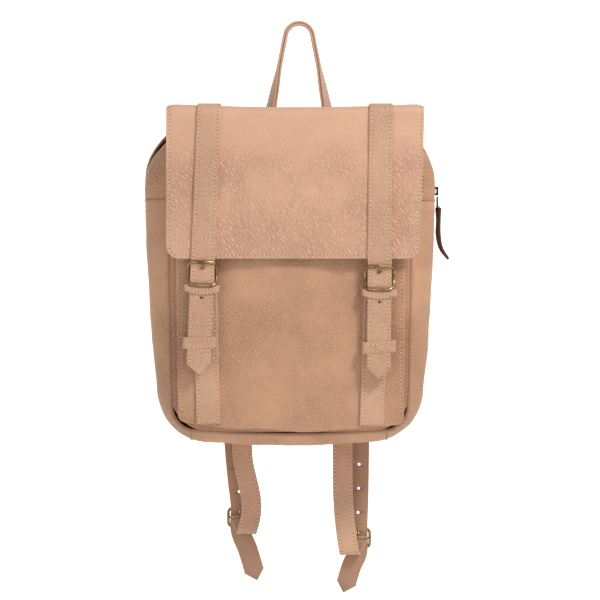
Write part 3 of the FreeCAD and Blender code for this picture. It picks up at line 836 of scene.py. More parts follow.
def buckle_path(half_x, low_z, high_z, corner, bow):
    """Closed line round a bowed buckle frame: its sides dip back to the centre bar."""
    path = []
    for sx, sz, start in ((1, 1, 0), (-1, 1, 90), (-1, -1, 180), (1, -1, 270)):
        z_edge = high_z if sz > 0 else low_z
        cx, cz = sx * (half_x - corner), z_edge - sz * corner
        for i in range(7):
            a = math.radians(start + 15 * i)
            path.append((cx + corner * math.cos(a), cz + corner * math.sin(a)))
    line = []
    for i, (x, z) in enumerate(path):
        nx, nz = path[(i + 1) % len(path)]
        steps = 6 if abs(nz - z) > 6 else 1
        for k in range(steps):
            f = k / steps
            px, pz = x + (nx - x) * f, z + (nz - z) * f
            line.append((px, -bow * (pz / high_z) ** 2, pz))
    return line


def put(bm, matrix):
    bmesh.ops.transform(bm, matrix=matrix, verts=bm.verts)
    return bm


def buckle_set(strap, place):
    """Frame with its centre bar, roller, and tongue, each drawn about the centre bar."""
    scale = strap / STRAP_WIDTH
    half_x = strap / 2 + 0.9 + WIRE_RADIUS
    frame_mesh = wire(bmesh.new(), buckle_path(half_x, FRAME_LOW * scale, FRAME_HIGH * scale,
                                               FRAME_CORNER, FRAME_BOW),
                      WIRE_RADIUS, closed=True)
    wire(frame_mesh, [(-half_x, 0, 0), (-half_x / 2, 0, 0), (half_x / 2, 0, 0), (half_x, 0, 0)],
         1.1)
    roller = bmesh.new()
    reach = half_x - 3.4
    ring = [(ROLLER_RADIUS * 0.8, -reach), (ROLLER_RADIUS, -reach + 0.4),
            (ROLLER_RADIUS, reach - 0.4), (ROLLER_RADIUS * 0.8, reach)]
    frames = [Matrix.Translation(Vector((x, -FRAME_BOW, FRAME_HIGH * scale)) * MM)
              @ Matrix.Rotation(math.pi / 2, 4, "Y") @ Matrix.Diagonal((r * MM, r * MM, MM, 1))
              for r, x in ring]
    sweep(roller, circle_outline(1.0, 16), frames)
    tongue = bmesh.new()
    wire(tongue, [(0, 0.2, EYE_RADIUS), (0, -2.6, 2.9), (0, -5.4, 4.6),
                  (0, -7.7, 6.9 * scale + 0.2), (0, -9.0, 9.6 * scale),
                  (0, -9.6, 12.2 * scale), (0, -9.9, 14.0 * scale)],
         TONGUE_RADIUS, out=RIGHT_WAY, tips=True)
    eye = [(0, y, z) for z, y in circle_outline(EYE_RADIUS, 14)]
    wire(tongue, eye, 0.6, closed=True, out=RIGHT_WAY)
    return [put(bm, place) for bm in (frame_mesh, roller, tongue)]


def finish_buckle(prefix, side, strap, place, bodies, nodes):
    """Makes a buckle's frame and roller on the first body, and its tongue on the second."""
    facts = ((bodies[0], nodes[:1]), (bodies[0], ()), (bodies[1], nodes[1:]))
    for part, bm, (body, replaced) in zip(("frame", "roller", "tongue"),
                                          buckle_set(strap, place), facts):
        finish_piece(prefix + part + "_" + side, bm, (brass,), body, replaced, "antique_brass")


def hardware_place(x, y, z, lean=0.0, spin=0.0):
    """Matrix from a buckle's own millimetre frame, already scaled, to its place."""
    return (Matrix.Translation(Vector((x, y, z)) * MM) @ Matrix.Rotation(math.radians(lean), 4, "Y")
            @ Matrix.Rotation(math.radians(spin), 4, "Z"))


front_bars = {}
for side, lean in LEAN.items():
    low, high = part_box("buckle_" + side)
    centre_x = (low.x + high.x) / 2 / MM
    strap_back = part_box("flap_strap_" + side)[1].y / MM
    roll_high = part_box("chape_" + side)[1]
    bar_z = roll_high.z / MM - 2.2 + FRAME_LOW * math.sin(math.radians(lean))
    place = hardware_place(centre_x, strap_back + BAR_BEHIND + 0.1, bar_z, lean)
    front_bars[side] = place
    finish_buckle("buckle_", side, STRAP_WIDTH, place, ("flap_front", "prong_" + side),
                  ("buckle_" + side, "prong_" + side))
    for node in ("snap_stud_", "snap_socket_"):
        frame["nodes"][node + side].data.materials.clear()
        frame["nodes"][node + side].data.materials.append(brass)

# ---- keepers and buckle tabs -------------------------------------------------------------
# Each buckle hangs in a folded leather tab with a narrow keeper sewn on just below it. A
# second, wider keeper slides on the strap's loose end.


def stadium(half_x, front_y, back_y):
    """Closed line round a strap, with round ends: (x, y) points and outward normals."""
    radius, middle = (back_y - front_y) / 2, (back_y + front_y) / 2
    out = []
    for side in (1, -1):
        for i in range(9):
            a = math.radians(-90 * side + 22.5 * i)
            nx, ny = math.cos(a), math.sin(a)
            out.append((side * (half_x - radius) + radius * nx, middle + radius * ny, nx, ny))
        for i in range(1, 8):
            x = side * (half_x - radius) * (1 - 2 * i / 8)
            out.append((x, middle + side * radius, 0.0, float(side)))
    return out


def keeper_loop(half_x, front_y, back_y, height, thick, z, smile, tilt):
    """Leather loop: a strap section drawn round a stadium, its ends lifted by smile."""
    frames, front_points = [], []
    points = stadium(half_x, front_y, back_y)
    for i, (x, y, nx, ny) in enumerate(points):
        ax, ay = points[(i + 1) % len(points)][:2]
        bx, by = points[i - 1][:2]
        lift = smile * ((x / half_x) ** 2 - 0.4) + x * math.sin(math.radians(tilt))
        place = Vector((x, y, z + lift)) * MM
        along = Vector((ax - bx, ay - by, 0.0))
        frames.append(frame_at(place, along, Vector((nx, ny, 0))))
        if ny < -0.99 and abs(x) < half_x - 3:
            front_points.append((x, frames[-1]))
    bm = sweep(bmesh.new(), strap_outline(height, thick, rows=False), frames + frames[:1],
               edge_from=height / 2 - 0.35, cap=False)
    front_points.sort(key=lambda item: item[0])
    return bm, [f for _, f in front_points]


def place_row(place, frames, across, lift):
    """Stitch row on a loop's front, moved with the loop to its place."""
    turn = place.to_3x3()
    return [(place @ (f @ Vector((across, lift, 0))), turn @ FRONT_WAY) for f in frames]


# half width, front, back, height, z, smile in mm and tilt in degrees, inset of the stitch
# rows from the middle, and the number of places that they stop short at each end
KEEPERS = (("fixed", 17.2, -5.3, 0.5, 7.2, -17.6, 3.4, 0.0, 2.2, 0),
           ("sliding", 16.2, -5.6, -2.0, 12.0, -73.0, 0.8, 4.2, 3.6, 1))
KEEPER_THICK, KEEPER_STITCH = 1.5, 3.4
TAB_RUN, TAB_TURN, TAB_END = 58.0, 1.7, 1.4

for side in LEAN:
    place = front_bars[side]
    for kind, half_x, front_y, back_y, height, z, smile, tilt, across, short in KEEPERS:
        body = "flap_front" if kind == "fixed" else "keeper_" + side
        name = "keeper_" + kind + "_" + side
        loop, fronts = keeper_loop(half_x, front_y, back_y, height, KEEPER_THICK, z, smile, tilt)
        finish_piece(name + "_leather", put(loop, place), strap_materials, body, (name,))
        fronts = fronts[short:len(fronts) - short]
        rows = [place_row(place, fronts, u, KEEPER_THICK - 0.1) for u in (-across, across)]
        stitches(name + "_stitches", rows, body, pitch=KEEPER_STITCH)

    fold = [(Vector((0, -TAB_TURN, -TAB_RUN + (TAB_RUN - 2) * i / 8)), FRONT_WAY)
            for i in range(9)]
    fold += [(Vector((0, -TAB_TURN * math.cos(a), TAB_TURN * math.sin(a))),
              Vector((0, -math.cos(a), math.sin(a))))
             for a in [math.pi * i / 10 for i in range(11)]]
    fold += [(Vector((0, TAB_TURN - TAB_END * i / 8, -TAB_RUN * i / 8)), BACK_WAY)
             for i in range(1, 9)]
    tab = strap_mesh(frames_along([(p * MM, n) for p, n in fold]), 24.0, 0.9, 0.4, rows=False)
    finish_piece("buckle_tab_" + side + "_leather", put(tab, place), strap_materials,
                 "flap_front", ("chape_" + side,))


def punch(piece, spots, radius):
    """Punches round holes through a strap at places in metres, from front to back; their walls take
    the dark painted shade of the needle holes.
    """
    cutter_mesh = bmesh.new()
    turn = Vector((0, 0, 1)).rotation_difference(BACK_WAY).to_matrix().to_4x4()
    for spot in spots:
        bmesh.ops.create_cone(cutter_mesh, cap_ends=True, segments=16, radius1=radius * MM,
                              radius2=radius * MM, depth=14 * MM,
                              matrix=Matrix.Translation(spot) @ turn)
    data = bpy.data.meshes.new("punch")
    cutter_mesh.to_mesh(data)
    cutter_mesh.free()
    # The cutter's dark material passes to the hole walls: painted shade inside the punched holes.
    data.materials.append(painted_hole_shade)
    cutter = bpy.data.objects.new("punch", data)
    bpy.context.scene.collection.objects.link(cutter)
    cut = piece.modifiers.new("punched_holes", "BOOLEAN")
    cut.object = cutter
    cut.operation = "DIFFERENCE"
    cut.solver = "EXACT"
    cut.material_mode = "TRANSFER"
    apply_modifiers(piece)
    bpy.data.objects.remove(cutter)


BILLET_HOLES = (6.0, -25.6)   # from the centre bar, mm
for side, billet in billets.items():
    place = front_bars[side]
    spots = [place @ (Vector((0, -3.6, z)) * MM) for z in BILLET_HOLES]
    punch(billet, spots, 1.45)
    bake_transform(billet)

# ---- bag walls ---------------------------------------------------------------------------
# The bag's side is a ring of the same hide: two gussets, a base panel and two strips beside
# the zip. It is sewn inside out to the front and back walls, so its seams roll outwards.

BAG_X = (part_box("back_panel")[0].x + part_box("back_panel")[1].x) / 2 / MM
SEAM_FRONT, SEAM_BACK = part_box("body_front")[1].y / MM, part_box("back_panel")[0].y / MM
FULL_FROM, FULL_TO = -74.0, -36.0
ZIP_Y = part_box("zip_strip_front")[1].y / MM
CROSS_SEAM_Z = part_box("zip_strip_front")[0].z / MM
BASE_SEAMS = (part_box("base_panel")[0].x / MM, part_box("base_panel")[1].x / MM)
BAG_MIDDLE = Vector((BAG_X, ZIP_Y, -260)) * MM
# half width high and low, top, bottom, radius of the upper and of the lower corners
FRONT_OUTLINE = (129.0, 125.0, -90.0, -417.0, 58.0, 27.0)
FULL_OUTLINE = (153.2, 140.5, -86.0, -428.5, 70.0, 56.0)
BACK_OUTLINE = (142.0, 128.0, -84.0, -424.0, 62.0, 46.0)
WALL_THICK = 2.2
BASE_SAG = 4.0             # the base hangs lower in its middle, mm

body_hide = milled_leather("body_milled_hide", "c99b7a", 1.3, spacing=1.9, turn=30.0,
                           stretch=0.6, roughness=0.48)
body_materials = (body_hide, raw_edge, flesh_side)


def outline_at(y):
    """Outline of the bag's side at depth y: small at both seams, round and full between."""
    if y < FULL_FROM:
        seam, reach = FRONT_OUTLINE, (y - SEAM_FRONT) / (FULL_FROM - SEAM_FRONT)
    elif y > FULL_TO:
        seam, reach = BACK_OUTLINE, (SEAM_BACK - y) / (SEAM_BACK - FULL_TO)
    else:
        return FULL_OUTLINE
    full = math.sin(math.pi / 2 * clamp(reach))
    return tuple(a + (b - a) * full for a, b in zip(seam, FULL_OUTLINE))


def outline_point(outline, w):
    """Point (x, z) at w, 0 to 12, anticlockwise round an outline from its left cross seam.

    The gussets lie at 0 to 2 and 5 to 7, the base at 2 to 5 and the zip strips at 7 to 12."""
    high, low, top, bottom, r_high, r_low = outline
    w %= 12
    leg, f = int(w), w - int(w)
    side = -1 if leg in (0, 1, 2, 10, 11) else 1
    arc_x = BAG_X + side * (low - r_low)
    seam_x = BASE_SEAMS[0] if side < 0 else BASE_SEAMS[1]
    seam_turn = math.acos(clamp((seam_x - arc_x) * side / r_low))
    cross_f = (top - r_high - CROSS_SEAM_Z) / (top - r_high - bottom - r_low)
    cross_x = high + (low - high) * cross_f
    if leg in (0, 6):
        f = f if leg == 0 else 1 - f
        return (BAG_X + side * (cross_x + (low - cross_x) * f ** 1.6),
                CROSS_SEAM_Z + (bottom + r_low - CROSS_SEAM_Z) * f)
    if leg in (1, 2, 4, 5):
        f = 1 - f if leg > 3 else f
        turn = seam_turn * f if leg in (1, 5) else seam_turn + (math.pi / 2 - seam_turn) * f
        return arc_x + side * r_low * math.cos(turn), bottom + r_low - r_low * math.sin(turn)
    if leg == 3:
        return BAG_X + (low - r_low) * (2 * f - 1), bottom - BASE_SAG * math.sin(math.pi * f)
    if leg in (7, 11):
        f = f if leg == 7 else 1 - f
        return (BAG_X + side * (cross_x + (high - cross_x) * f),
                CROSS_SEAM_Z + (top - r_high - CROSS_SEAM_Z) * f)
    if leg == 9:
        return BAG_X + (high - r_high) * (1 - 2 * f), top
    turn = math.pi / 2 * (f if leg == 8 else 1 - f)
    return (BAG_X + side * (high - r_high + r_high * math.cos(turn)),
            top - r_high + r_high * math.sin(turn))


def wall_at(w, y, lift=0.0):
    """Point of the side's outer face, in metres: slack leather between tight seams."""
    outline = outline_at(y)
    x, z = outline_point(outline, w)
    ahead = outline_point(outline, w + 0.02)
    behind = outline_point(outline, w - 0.02)
    run = Vector((ahead[0] - behind[0], ahead[1] - behind[1])).normalized()
    depth = (y - SEAM_FRONT) / (SEAM_BACK - SEAM_FRONT)
    loose = min(1.0, 4 * depth * (1 - depth))   # none at either seam
    slack = noise.fractal(Vector((y / 38.0, z / 62.0, x / 62.0 + 5.1)), 0.9, 2.0, 3) * 1.7
    corner = math.exp(-((min(w % 12, 7 - w % 12 if w % 12 < 7 else 9) - 1.4) / 0.7) ** 2)
    slack += corner * 1.1 * math.sin(y / 6.5 + x / 11.0) * noise.noise(Vector((x / 40, y / 30, 2)))
    out = (slack - 0.4) * loose + lift
    return Vector((x + run.y * out, y, z - run.x * out)) * MM


def leg_stops(first, last, step=4.0):
    """Values of w from first to last, about step mm apart round the full outline."""
    stops = []
    for leg in range(first, last):
        length = sum((Vector(outline_point(FULL_OUTLINE, leg + (i + 1) / 8 * 0.999))
                      - Vector(outline_point(FULL_OUTLINE, leg + i / 8 * 0.999))).length
                     for i in range(8))
        count = max(2, round(length / step))
        stops += [leg + i / count for i in range(count)]
    return stops + [last - 1e-6]


def depth_stops(start, end, count):
    """Depths from start to end, closer at both seams where the wall curves in fast."""
    return [start + (end - start) * (1 - math.cos(math.pi * i / count)) / 2
            for i in range(count + 1)]


wall_ys = depth_stops(SEAM_FRONT, SEAM_BACK, 26)
for name, node, legs in (("gusset_left_leather", "gusset_left", (0, 2)),
                         ("base_leather", "base_panel", (2, 5)),
                         ("gusset_right_leather", "gusset_right", (5, 7))):
    leather_sheet(name, surface_grid(leg_stops(*legs), wall_ys, wall_at), WALL_THICK,
                  body_materials, body="bag", replaced=(node,))


def half_mouth(w, wide, narrow):
    """Half the width of the opening beside the zip: wide on top, narrow down the sides."""
    z = outline_point(FULL_OUTLINE, w)[1]
    f = clamp((z + 150.0) / 42.0)
    return narrow + (wide - narrow) * f * f * (3 - 2 * f)


strip_ws = leg_stops(7, 12)
# half the mouth on top and down the sides, at the strips and at the tapes
STRIP_MOUTH, TAPE_MOUTH = (22.0, 6.5), (18.5, 1.9)
TAPE_SINK, TAPE_THICK = 2.7, 0.8
SLUMPS = ((8.5, 10.6, 0.5), (4.5, 8.4, 0.4))   # mm, at w, over a width in w


def slump(w):
    """How far the front lip has fallen into the open mouth at each shoulder, mm."""
    return sum(deep * math.exp(-((w - middle) / wide) ** 2) for deep, middle, wide in SLUMPS)


def strip_at(way, wide, narrow, start, lift=0.0):
    """Surface of the strip or tape on one side of the zip: (w, 0..1 from seam to zip)."""
    def at(w, f):
        lip = ZIP_Y + way * half_mouth(w, wide, narrow)
        curl = 1.2 * max(0.0, (f - 0.8) / 0.2) ** 2 if lift == 0 else 0.0
        if way < 0:
            curl += slump(w) * (f * f if lift == 0 else 0.75 + 0.25 * f)
        return wall_at(w, start + (lip - start) * f, lift - curl)
    return at


for node, way, seam_y in (("front", -1, SEAM_FRONT), ("rear", 1, SEAM_BACK)):
    at = strip_at(way, *STRIP_MOUTH, seam_y)
    fs = [(1 - math.cos(math.pi / 2 * i / 12)) for i in range(12)] + [0.9, 0.93, 0.96, 1.0]
    leather_sheet("zip_strip_" + node + "_leather", surface_grid(strip_ws, sorted(fs), at),
                  WALL_THICK, body_materials, body="bag", replaced=("zip_strip_" + node,))
    rows = []
    for f in (0.90, 0.20):
        rows.append([])
        for w in strip_ws[1:-1]:
            here = at(w, f)
            out = (at(w + 0.01, f) - here).cross(at(w, f + 0.01) - here).normalized()
            rows[-1].append((here, out if out.dot(here - BAG_MIDDLE) > 0 else -out))
    stitches("zip_strip_" + node + "_stitches", rows, "bag")

# seams rolled outwards by the turned edges inside them
seam_hide = milled_leather("seam_milled_hide", "b58b6f", 0.35, spacing=1.6, stretch=0.8)


def seam_roll(name, places, radius, **how):
    """Round welt through (w, y, lift) places on the side."""
    line = [tuple(wall_at(*place) / MM) for place in places]
    finish_piece(name, wire(bmesh.new(), line, radius, **how), (seam_hide,), "bag")


ring_ws = leg_stops(0, 12, 6.0)[:-1]
for name, y, radius, lift in (("front_seam_roll", SEAM_FRONT - 0.6, 2.1, -0.8),
                              ("back_seam_roll", SEAM_BACK + 0.4, 1.9, -1.2)):
    seam_roll(name, [(w, y, lift) for w in ring_ws], radius, closed=True, out=BACK_WAY)
cross_ys = [SEAM_FRONT + 1 + (SEAM_BACK - SEAM_FRONT - 2) * i / 24 for i in range(25)]
for name, w in (("cross_seam_left", 0.0), ("cross_seam_right", 7.0), ("base_seam_left", 2.0),
                ("base_seam_right", 5.0)):
    seam_roll(name, [(w, y, -0.3) for y in cross_ys], 1.3, out=RIGHT_WAY, tips=True)
seam_rows = []
for w in (0.06, 6.94, 2.08, 4.92):
    line = []
    for i in range(25):
        y = SEAM_FRONT + 4 + (SEAM_BACK - SEAM_FRONT - 8) * i / 24
        here = wall_at(w, y, 0.05)
        out = (wall_at(w + 0.01, y) - here).cross(wall_at(w, y + 0.5) - here).normalized()
        line.append((here, out if out.dot(here - BAG_MIDDLE) > 0 else -out))
    seam_rows.append(line)
stitches("cross_seam_stitches", seam_rows, "bag")

# ---- zip ---------------------------------------------------------------------------------
# A brass zip stands open over the top of the bag: woven tapes sewn under the strips, with
# teeth clamped along their free edges.

zip_tape_cloth, tape_tree, tape_shader, tape_place = new_material("woven_polyester_zip_tape")
ribs = add_node(tape_tree, "TexWave", {"Vector": tape_place, "Scale": 320.0, "Distortion": 1.0},
                bands_direction="Y")
two_tone(tape_tree, tape_shader, ribs.outputs["Fac"], hex_colour("4a382e"), hex_colour("6b5345"))
add_bump(tape_tree, tape_shader, ribs.outputs["Fac"], 0.4, 0.2)
tape_shader.inputs["Roughness"].default_value = 0.85

TOOTH_PITCH, TOOTH_LENGTH, TOOTH_HEIGHT = 2.6, 3.4, 2.6


def add_block(bm, matrix, offset, segments):
    """Cube in a matrix, with its edges bevelled by offset mm."""
    made = bmesh.ops.create_cube(bm, size=1.0, matrix=matrix)
    bmesh.ops.bevel(bm, geom=list({e for v in made["verts"] for e in v.link_edges}),
                    offset=offset * MM, segments=segments, profile=0.5, affect="EDGES",
                    material=-1, clamp_overlap=True)


def add_tooth(bm, place, along, side, gap):
    turn = Matrix((side, along, side.cross(along))).transposed().to_4x4()
    size = Matrix.Diagonal((TOOTH_LENGTH * MM, gap * 0.5, TOOTH_HEIGHT * MM, 1))
    add_block(bm, turn_at(place, turn) @ size, 0.25, 1)


for node, way, far_y in (("front", -1, -84.0), ("rear", 1, -26.0)):
    at = strip_at(way, *TAPE_MOUTH, far_y, lift=-TAPE_SINK)
    leather_sheet("zip_tape_" + node + "_cloth",
                  surface_grid(strip_ws, [0, 0.25, 0.5, 0.75, 0.9, 1.0], at), TAPE_THICK,
                  (zip_tape_cloth,) * 3, body="bag", replaced=("zip_tape_" + node,),
                  slot="zip_tape")
    edge_line = [(at(w, 1.0), Vector((0, 0, 1))) for w in strip_ws[1:-2]]
    spots, gap = evenly(edge_line, TOOTH_PITCH * MM)
    side = Vector((0, -way, 0))
    teeth = in_batches([(place, along, side, gap) for place, along, _ in spots], 12, add_tooth)
    finish_piece("zip_teeth_" + node, teeth, (brass,), "bag", slot="zip_metal", smooth=False,
                 clean=False)

# ---- front and back walls ----------------------------------------------------------------
# Flat panels of the body hide close the bag; the back one carries the shoulder straps.


def wall_panel(name, node, outline, y, facing, seed):
    high, low, top, bottom, r_high, r_low = outline
    xs = [-high + 2 * high * i / 64 for i in range(65)]
    ss = [(top - bottom) * i / 74 for i in range(75)]

    def at(x, s):
        f = s / (top - bottom)
        fold = noise.fractal(Vector((x / 55, s / 55, seed)), 0.9, 2.0, 3) * 0.7
        edge = min(1.0, (high - abs(x)) / 20, s / 20 + 0.05, (top - bottom - s) / 20 + 0.05)
        return Vector((BAG_X + x * (high + (low - high) * f) / high,
                       y + fold * max(0.0, edge), top - s)) * MM
    return leather_sheet(name, surface_grid(xs, ss, at, corner=(r_high + r_low) / 2,
                                            last_only=False), WALL_THICK, body_materials,
                         facing=facing, body="bag", replaced=(node,))


wall_panel("front_wall_leather", "body_front", FRONT_OUTLINE, SEAM_FRONT - WALL_THICK,
           FRONT_WAY, 4.4)
wall_panel("back_wall_leather", "back_panel", BACK_OUTLINE, SEAM_BACK + WALL_THICK,
           BACK_WAY, 9.2)

# ---- front pocket ------------------------------------------------------------------------
# A full-height pocket of the body hide is sewn on the front, over a narrow band that gives
# it depth. Its slack front hangs a little, and two straps are sewn down it.

pocket_low, pocket_high = box_mm("front_panel")
POCKET_MIDDLE = (pocket_low.x + pocket_high.x) / 2
POCKET_HALF = (pocket_high.x - pocket_low.x) / 2
POCKET_RUN, POCKET_CORNER = pocket_high.z - pocket_low.z, 9.0
inner_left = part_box("body_strap_left")[1].x / MM
inner_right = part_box("body_strap_right")[0].x / MM


def hem_drop(x):
    """How far the pocket's lower edge hangs below its level, mm, in slack waves."""
    u = (x - POCKET_MIDDLE) / POCKET_HALF
    return (9.6 * math.sin(math.pi * min(1.0, (u + 1) / 2 * 0.93)) - 5.0
            + 1.5 * math.sin(x / 15.0 + 0.7) * math.exp(-((u + 0.25) / 0.6) ** 2))


def pocket_at(x, s, lift=0.0):
    """Point of the pocket's outer face, s mm below its top edge."""
    f = s / POCKET_RUN
    between = clamp((x - inner_left) / (inner_right - inner_left))
    belly = 4.2 * math.sin(math.pi * between) ** 0.8 * (0.4 + 0.6 * math.sin(math.pi * f * 0.85))
    fold = noise.fractal(Vector((x / 46.0, s / 80.0, 1.9)), 0.9, 2.1, 3) * 2.2
    fold += noise.noise(Vector(((x + s * 0.5) / 28.0, (s - x * 0.4) / 60.0, 7.7))) * 0.9
    low = max(0.0, (f - 0.62) / 0.38)
    pull = 2.0 * low * math.sin(x / 13.5 + 1.1 + 0.8 * math.sin(s / 40.0))
    edge = clamp((POCKET_HALF - abs(x - POCKET_MIDDLE)) / 16.0)
    rim = min(POCKET_HALF - abs(x - POCKET_MIDDLE), POCKET_RUN - s)
    out = (belly + fold + pull) * edge + lift
    out -= 0.4 * math.exp(-((rim - 4.2) / 0.9) ** 2) + 1.1 * math.exp(-max(0.0, rim) / 1.6)
    draw = 1 - 3.0 * f / POCKET_HALF
    return Vector((POCKET_MIDDLE + (x - POCKET_MIDDLE) * draw, pocket_low.y - out,
                   pocket_high.z - s - hem_drop(x) * f ** 6)) * MM


pocket_xs = stops_along(pocket_low.x, pocket_high.x, 3.2)
pocket_ss = [POCKET_RUN - s for s in reversed(stops_along(0.0, POCKET_RUN, 3.2))]
leather_sheet("pocket_front_leather",
              surface_grid(pocket_xs, pocket_ss, pocket_at, corner=POCKET_CORNER), WALL_THICK,
              body_materials, facing=FRONT_WAY, body="bag",
              replaced=("front_panel",))


side_rows = [[(x, 3 + (POCKET_RUN - 16) * i / 90) for i in range(91)]
             for x in (pocket_low.x + 4.2, pocket_high.x - 4.2)]
stitches("pocket_stitches", [surface_row(pocket_at, row) for row in side_rows], "bag")

BAND_INSET, BAND_THICK = 4.0, 1.6
band_line = hem_border(pocket_low.x + BAND_INSET, pocket_high.x - BAND_INSET, 2,
                       POCKET_RUN - BAND_INSET, POCKET_CORNER - BAND_INSET, 60, 6, 70)


def band_at(i, f):
    x, s = band_line[int(i)]
    place = pocket_at(x, s, -1.2)
    inward = Vector((POCKET_MIDDLE - x, 0, pocket_high.z - s + 280)).normalized()
    squeeze = 0.9 * math.sin(math.pi * f) * MM
    return Vector((place.x, place.y + ((SEAM_FRONT - WALL_THICK) * MM - place.y) * f,
                   place.z)) - inward * squeeze


leather_sheet("pocket_band_leather",
              surface_grid(list(range(len(band_line))), [0, 0.2, 0.4, 0.6, 0.8, 1.0], band_at),
              BAND_THICK, body_materials, body="bag", replaced=("pocket_band",))

for side in LEAN:
    low, high = box_mm("body_strap_" + side)
    top_x, low_x = (low.x + STRAP_WIDTH / 2, high.x - STRAP_WIDTH / 2)
    if side == "right":
        top_x, low_x = high.x - STRAP_WIDTH / 2, low.x + STRAP_WIDTH / 2
    line = []
    for i in range(46):
        z = high.z + (low.z - 0.8 - high.z) * i / 45
        x = top_x + (low_x - top_x) * i / 45
        line.append((pocket_at(x, pocket_high.z - z, -0.2), FRONT_WAY))
    finish_piece("body_strap_" + side + "_leather", strap_mesh(frames_along(line), STRAP_WIDTH),
                 strap_materials, "bag", ("body_strap_" + side,))
    stitches("body_strap_" + side + "_stitches", edge_rows(line), "bag")

# ---- handle ------------------------------------------------------------------------------
# A doubled strap is sewn along both edges and bent into a round arch that hangs on the hook.
# Its legs spread, twist a quarter turn and end flat against the back, under the flap.

ARCH_RADIUS, HANDLE_WIDTH, HANDLE_THICK = 14.5, 22.0, 5.0
LEG_SPREAD = math.radians(11.0)
HANDLE_HINGE_Z, HANDLE_END_Z = -98.0, -122.0
EASE_REACH = 5.0           # how far the turns are averaged, mm
# height, depth and twist in degrees down each leg, and the strap's thickness there
LEG_TURNS = ((2.8, 0.0, 0.0, 5.0), (-29.0, 0.0, 0.0, 5.0), (-55.0, 1.5, 14.0, 4.8),
             (-76.0, 4.2, 20.0, 4.6), (-87.0, 1.4, 58.0, 4.2), (-97.7, -5.6, 90.0, 3.5),
             (HANDLE_END_Z, -6.05, 90.0, 3.4))


def smooth_table(table, at):
    """Reads a table of rows, first column falling, with eased steps between its rows."""
    for high, low in zip(table, table[1:]):
        if at >= low[0]:
            f = clamp((high[0] - at) / (high[0] - low[0]))
            return [a + (b - a) * f for a, b in zip(high[1:], low[1:])]
    return list(table[-1][1:])


def eased_table(table, at):
    """The same, averaged over a few millimetres, so that the line has no corners."""
    near = [smooth_table(table, at + EASE_REACH * k / 3) for k in range(-3, 4)]
    return [sum(column) / len(near) for column in zip(*near)]


def doubled_outline(width, thick):
    """Section of two layers sewn face to face: a groove runs round between them."""
    half, mid = width / 2, thick / 2
    top = [(half - 1.5, 0.12), (half, 0.6), (half, mid - 0.55), (half - 0.5, mid - 0.15),
           (half - 1.0, mid), (half - 2.0, mid), (half - 2.7, mid - 0.35), (half - 3.4, mid + 0.05),
           (half * 0.4, mid + 0.25)]
    right = [(u, -n) for u, n in reversed(top)] + top
    return right + [(-u, n) for u, n in reversed(top)] + [(-u, -n) for u, n in top]


def handle_leg(sign):
    """Points (place, out, thickness) down one leg from the arch to its sewn end."""
    rows = []
    start_x, start_z = ARCH_RADIUS * math.cos(LEG_SPREAD), ARCH_RADIUS * math.sin(LEG_SPREAD)
    for i in range(64):
        z = start_z - 1 + (HANDLE_END_Z - start_z + 1) * i / 63
        y, twist, thick = eased_table(LEG_TURNS, z)
        x = start_x + (start_z - max(z, HANDLE_HINGE_Z)) * math.tan(LEG_SPREAD)
        turn = math.radians(twist)
        out = Vector((sign * math.cos(turn), -math.sin(turn), 0.19 * math.cos(turn)))
        rows.append((Vector((sign * x, y, z)) * MM, out.normalized(), thick))
    return rows


arch = []
for i in range(1, 28):
    a = LEG_SPREAD + (math.pi - 2 * LEG_SPREAD) * i / 28
    arch.append((Vector((-ARCH_RADIUS * math.cos(a), 0, ARCH_RADIUS * math.sin(a))) * MM,
                 Vector((-math.cos(a), 0, math.sin(a))), HANDLE_THICK))
handle_line = handle_leg(-1)[::-1] + arch + handle_leg(1)
handle_frames = frames_along([(p, n) for p, n, _ in handle_line])
handle_hide = milled_leather("handle_milled_hide", "c49c82", 0.6, spacing=1.7, turn=12.0,
                             stretch=0.7, roughness=0.46)
grip_frames = [f @ Matrix.Diagonal((1, t / HANDLE_THICK, 1, 1))
               for f, (_, _, t) in zip(handle_frames, handle_line)]
grip = sweep(bmesh.new(), doubled_outline(HANDLE_WIDTH, HANDLE_THICK), grip_frames,
             edge_from=HANDLE_WIDTH / 2 - 0.45)
for face in grip.faces:
    if face.material_index == 2:
        face.material_index = 0
handle_leather = finish_piece("handle_leather", grip, (handle_hide, raw_edge, flesh_side),
                              replaced=("handle", "handle_end_left", "handle_end_right"))
grip_rows = []
for across in (-1, 1):
    for face in (-1, 1):
        grip_rows.append([(f @ Vector((across * (HANDLE_WIDTH / 2 - 2.7),
                                       face * (HANDLE_THICK / 2 - 0.25), 0)), n * face)
                          for f, (_, n, _) in zip(grip_frames[2:-2], handle_line[2:-2])])
handle_thread = stitches("handle_stitches", grip_rows)
for piece in (handle_leather, handle_thread):
    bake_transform(piece)

# ---- shoulder straps ---------------------------------------------------------------------
# Two straps leave a yoke high on the back, taper, and hang below the bag. Each doubles
# forwards round a buckle on a lower strap from the base, and its pointed end hangs free.

YOKE_THICK, YOKE_CORNER, SHOULDER_WIDTH, LOOP_WIDTH = 2.2, 10.0, 36.0, 21.0
BACK_FACE = SEAM_BACK + WALL_THICK


